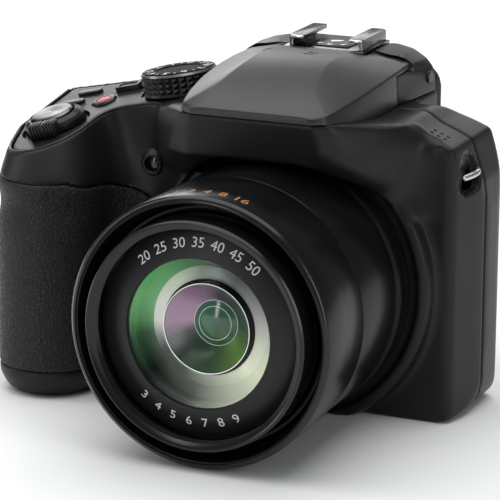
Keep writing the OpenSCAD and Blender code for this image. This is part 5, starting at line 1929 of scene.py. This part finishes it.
@dataclass
class RearControls:
    """Screen, pad, buttons, thumb wheel and thumb rest on the back."""

    rear: float = 20.0
    screen_at: Flat = (20.4, 31.0)
    screen_half: Flat = (36.0, 24.0)
    pad_at: Flat = (-41.0, 26.0)
    pad_r: float = 9.7
    set_r: float = 4.2
    button_r: float = 3.0
    buttons: dict[str, Flat] = field(
        default_factory=lambda: {
            "play_button": (-31.0, 48.0), "lock_button": (-32.0, 62.0), "view_button": (-17.0, 66.0),
            "menu_button": (-27.0, 11.0), "display_button": (-57.0, 13.0),
        }
    )
    wheel_at: Point = (-47.0, 14.9, 65.5)
    wheel_r: float = 7.5
    wheel_t: float = 4.6
    rest_at: Flat = (-52.5, 50.0)

    def screen_block(self, gap: float, low: float, high: float, draw_in: float = 0) -> Solid:
        """Builds a block of the screen's shape.

        Args:
            gap: growth all round.
            low: its front along Y.
            high: its back.
            draw_in: how far it is drawn in.

        Returns:
            The block.
        """
        (x, z), (half_x, half_z) = self.screen_at, self.screen_half
        hx, hz = half_x + gap - draw_in, half_z + gap - draw_in
        return Solid.prism(
            oblong(x, z, hx, hz), low, high,
            Plane.FRONT, 2
        )

    def build(self, bench: Bench) -> None:
        """Builds and places every control on the back.

        Args:
            bench: where they go.
        """
        rear = self.rear
        frame = self.screen_block(0, rear - 0.8, rear + 0.8).bevelled(0.35, 3, 40)
        frame.cut(self.screen_block(0, rear + 0.45, rear + 2, 2.6), solver="EXACT")
        bench.place(frame, "screen_frame", Look.RIM, "rear_screen", sharp=30)
        glass = self.screen_block(0, rear + 0.3, rear + 0.6, 2.75).bevelled(0.08, 2, 40)
        bench.place(glass, "screen_glass", Look.SCREEN, "rear_screen", replaces=False, sharp=30)
        pad = LAYOUT.rear_spot(*self.pad_at, rear)
        r, s = self.pad_r, self.set_r
        ring = [
            (s + 0.3, -3.2), (r, -3.2), (r, 0.5), (r - 0.5, 0.9), (r - 1.6, 0.9), (s + 1.6, 0.45),
            (s + 0.3, 0.35)
        ]
        bench.place(Solid.turned(ring, pad, 96, 0.1), "pad_ring", Look.CONTROL, "cursor_pad", sharp=30)
        dots = []
        for i in range(4):
            place = pad @ Matrix.Rotation(math.tau * i / 4, 4, "Z") @ Matrix.Translation((0, r - 2.4, 0.72))
            dots.append(Solid.drum(place, 0.45, -0.1, 0.08, steps=3 * 8))
        bench.place(dots[0].heap(*dots[1:]), "pad_dots", Look.WHITE, "cursor_pad", replaces=False)
        cap = [(0, -3.2), (s, -3.2), (s, 0.7), (s - 0.4, 1.05), (0, 1.1)]
        bench.place(Solid.turned(cap, pad, 64), "set_cap", Look.CONTROL, "set_button", sharp=30)
        for node, at in self.buttons.items():
            b = self.button_r
            cap = [(0, -3.2), (b, -3.2), (b, 0.5), (b - 0.4, 0.85), (b - 1.2, 0.88), (0, 0.72)]
            bench.place(
                Solid.turned(cap, LAYOUT.rear_spot(*at, rear), 64), f"{node}_cap", Look.CONTROL, node,
                sharp=30
            )
        self.build_wheel(bench)
        self.build_rest(bench)

    def build_wheel(self, bench: Bench) -> None:
        """Builds the knurled thumb wheel.

        Args:
            bench: where it goes.
        """
        spot, r, half = Matrix.Translation(self.wheel_at), self.wheel_r, self.wheel_t / 2
        rim = [
            (0, -5.4), (1.2, -5.4), (1.2, -half), (r - 0.9, -half), (r - 0.3, -half + 0.5),
            (r - 0.3, half - 0.5)
        ]
        rim += [(r - 0.9, half), (1.2, half), (1.2, 5.4), (0, 5.4)]
        wheel = Solid.turned(rim, spot, 72)
        teeth = []
        for i in range(36):
            turn = spot @ Matrix.Rotation(math.tau * i / 36, 4, "Z")
            tooth = Solid.box((r - 0.9, -0.28, -half + 0.5), (r - 0.02, 0.28, half - 0.5), turn)
            teeth.append(tooth.bevelled(0.12, 1))
        bench.place(wheel.heap(*teeth), "thumb_wheel", Look.CONTROL, "rear_dial", sharp=30)

    def build_rest(self, bench: Bench) -> None:
        """Builds the leathered thumb rest, crowned towards its outer edge.

        Args:
            bench: where it goes.
        """
        x, z = self.rest_at
        rest = Solid.prism(
            oblong(x, z, 9, 9), self.rear - 0.2,
            self.rear + 2.4, Plane.FRONT, 4
        )
        rest.melted(0.5, 5).thinned(0.5)
        bench.place(rest, "thumb_leather", Look.LEATHER, "thumb_rest")


@dataclass
class Viewfinder:
    """Eyecup and diopter knob."""

    back: float = 31.5
    depth: float = 14.0
    height: float = 71.0
    half: Flat = (20.5, 11.5)

    def ring(self, inset: Flat, low: float, high: float, radius: float) -> Solid:
        """Builds a rounded block about the eyepiece.

        Args:
            inset: how far it is drawn in across and up.
            low: its front along Y.
            high: its back.
            radius: rounding of its corners.

        Returns:
            The block.
        """
        x, z = LAYOUT.lens_x, self.height
        hx, hz = self.half[0] - inset[0], self.half[1] - inset[1]
        return Solid.prism(
            oblong(x, z, hx, hz), low, high,
            Plane.FRONT, radius, 8
        )

    def build(self, bench: Bench) -> None:
        """Builds and places the eyecup and the diopter knob.

        Args:
            bench: where they go.
        """
        cup = self.ring((0, 0), self.back + 0.15, self.back + self.depth, 6)
        cup.cut(self.ring((6.5, 4.5), self.back - 1, self.back + self.depth + 1, 3), solver="EXACT")
        cup.cut(
            self.ring((3.2, 2.4), self.back + self.depth - 2.2, self.back + self.depth + 1, 4),
            solver="EXACT"
        )
        bench.place(cup.melted(0.55, 6).thinned(0.5), "eyecup_rubber", Look.RUBBER, "eyecup")
        spot = LAYOUT.side_spot(41.2, 25, 70)
        knob = [(0, -3), (1.5, -3), (1.5, 0), (3.9, 0), (4.1, 0.25), (4.1, 1.8), (3.8, 2.2), (0, 2.2)]
        solid = Solid.turned(knob, spot, 72)
        for i in range(28):
            turn = spot @ Matrix.Rotation(math.tau * i / 28, 4, "Z")
            solid.heap(Solid.box((3.7, -0.18, 0.3), (4.2, 0.18, 1.8), turn))
        bench.place(solid, "diopter_knob", Look.CONTROL, "diopter_dial", sharp=30)


@dataclass
class CarriedNodes:
    """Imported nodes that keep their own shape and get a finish."""

    looks: dict[str, Look] = field(
        default_factory=lambda: {
            "base_plate": Look.SHELL, "chassis": Look.STEEL, "eyepiece_lens": Look.CLEAR,
            "viewfinder_display": Look.SCREEN, "image_sensor": Look.INNER, "zoom_motor": Look.STEEL,
            "zoom_lens": Look.INNER, "main_board": Look.BOARD, "battery": Look.CELL,
            "memory_card": Look.CELL, "flash_capacitor": Look.CELL,
            "speaker": Look.INNER, "tripod_bush": Look.STEEL, "body_screws": Look.STEEL,
            "door_pins": Look.STEEL, "terminal_sockets": Look.STEEL, "iris_unit": Look.INNER,
            "focus_lens": Look.INNER_GLASS, "flash_window": Look.CLEAR, "flash_lamp": Look.BRIGHT,
            "battery_door": Look.SHELL, "door_latch": Look.CONTROL,
            "terminal_door": Look.SHELL,
        }
    )

    def build(self, bench: Bench) -> None:
        """Dresses each node.

        Args:
            bench: which holds the nodes.
        """
        for node, look in self.looks.items():
            bench.dress(node, look)
        missing = set(bench.frame["nodes"]) - set(self.looks) - bench.replaced
        if missing:
            LOG.warning("nodes without a finish: %s", sorted(missing))


# Studio


@dataclass
class Studio:
    """Pale floor, soft lights and the camera of the photograph's view."""

    yaw: float = 23.18
    pitch: float = 15.32
    roll: float = 0.39
    distance: float = 854.1
    target: Point = (-0.1, 0.0, 37.2)
    lens: float = 230.4
    sensor: float = 36.0
    floor_half: float = 4.0
    floor_colour: tuple[float, float, float] = (0.93, 0.93, 0.93)

    def build(self) -> None:
        """Sets the camera, the floor, the lights and the view."""
        self.build_camera()
        self.build_floor()
        self.build_lights()
        bpy.context.scene.view_settings.view_transform = "Standard"

    def build_camera(self) -> None:
        """Stands the camera where the photograph was taken from."""
        yaw, pitch, roll = (math.radians(a) for a in (self.yaw, self.pitch, self.roll))
        back = Vector((math.sin(yaw) * math.cos(pitch), -math.cos(yaw) * math.cos(pitch), math.sin(pitch)))
        level = Vector((math.cos(yaw), math.sin(yaw), 0))
        upright = back.cross(level)
        right = level * math.cos(roll) + upright * math.sin(roll)
        up = back.cross(right)
        data = bpy.data.cameras.new("view")
        data.lens, data.sensor_width, data.clip_start, data.clip_end = self.lens, self.sensor, 0.01, 50
        camera = bpy.data.objects.new("view", data)
        place = Matrix((right, up, back)).transposed().to_4x4()
        place.translation = (Vector(self.target) + back * self.distance) * MM
        camera.matrix_world = place
        bpy.context.scene.collection.objects.link(camera)
        bpy.context.scene.camera = camera

    def build_floor(self) -> None:
        """Lays the pale floor under the camera."""
        bm = bmesh.new()
        bmesh.ops.create_grid(bm, x_segments=1, y_segments=1, size=self.floor_half)
        bmesh.ops.translate(bm, verts=bm.verts, vec=(0, 0, -0.0002))
        mesh = bpy.data.meshes.new("floor")
        bm.to_mesh(mesh)
        bm.free()
        material = bpy.data.materials.new("pale_floor")
        material.use_nodes = True
        graph = Graph(material.node_tree)
        shader = graph.add(
            "ShaderNodeBsdfPrincipled",
            {"Base Color": (*self.floor_colour, 1), "Roughness": 0.9, "Specular IOR Level": 0.1}
        )
        graph.add("ShaderNodeOutputMaterial", {"Surface": shader.outputs[0]})
        mesh.materials.append(material)
        floor = bpy.data.objects.new("floor", mesh)
        bpy.context.scene.collection.objects.link(floor)

    def softbox(self, name: str, at: Point, aim: Point, size: Flat, radiance: float) -> None:
        """Hangs one soft light.

        Args:
            name: the light's name.
            at: its place, in metres.
            aim: the point it faces.
            size: its width and height.
            radiance: brightness of its face.
        """
        data = bpy.data.lights.new(name, "AREA")
        data.shape, data.size, data.size_y = "RECTANGLE", *size
        data.energy = radiance * math.pi * size[0] * size[1]
        light = bpy.data.objects.new(name, data)
        facing = (Vector(aim) - Vector(at)).to_track_quat("-Z", "Y")
        light.matrix_world = Matrix.Translation(at) @ facing.to_matrix().to_4x4()
        bpy.context.scene.collection.objects.link(light)

    def build_lights(self) -> None:
        """Hangs a large top light, a side light at each hand and a dim room."""
        world = bpy.data.worlds.new("room")
        world.use_nodes = True
        graph = Graph(world.node_tree)
        room = graph.add("ShaderNodeBackground", {"Color": (0.9, 0.95, 1.0, 1), "Strength": 0.18})
        graph.add("ShaderNodeOutputWorld", {"Surface": room.outputs[0]})
        bpy.context.scene.world = world
        self.softbox("top", (-0.2, 0.1, 1.6), (-0.2, 0.1, 0), (2.2, 2.0), 2.3)
        self.softbox("back", (-0.6, 2.2, 0.9), (-0.3, 1.3, 0), (2.0, 0.6), 2.2)
        self.softbox("back_left", (-0.75, 1.0, 0.4), (0, 0, 0.08), (0.5, 0.5), 2.2)
        self.softbox("grip_side", (-0.9, -0.25, 0.5), (0, 0, 0.05), (0.25, 0.9), 3.0)
        self.softbox("lens_side", (0.85, -0.36, 0.3), (0, 0, 0.05), (0.2, 0.6), 4.0)
        self.softbox("front_card", (-0.3, -1.0, 0.3), (0, 0, 0.04), (0.16, 0.6), 4.0)


def main() -> None:
    """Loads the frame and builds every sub-assembly."""
    logging.basicConfig(level=logging.INFO, format="%(name)s %(message)s")
    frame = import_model()
    bench = Bench(frame)
    Studio().build()
    for assembly in (
        BodyShell(), FlashHead(), Lens(), TopControls(), RearControls(), Viewfinder(), CarriedNodes()
    ):
        assembly.build(bench)


if __name__ == "__main__":
    main()
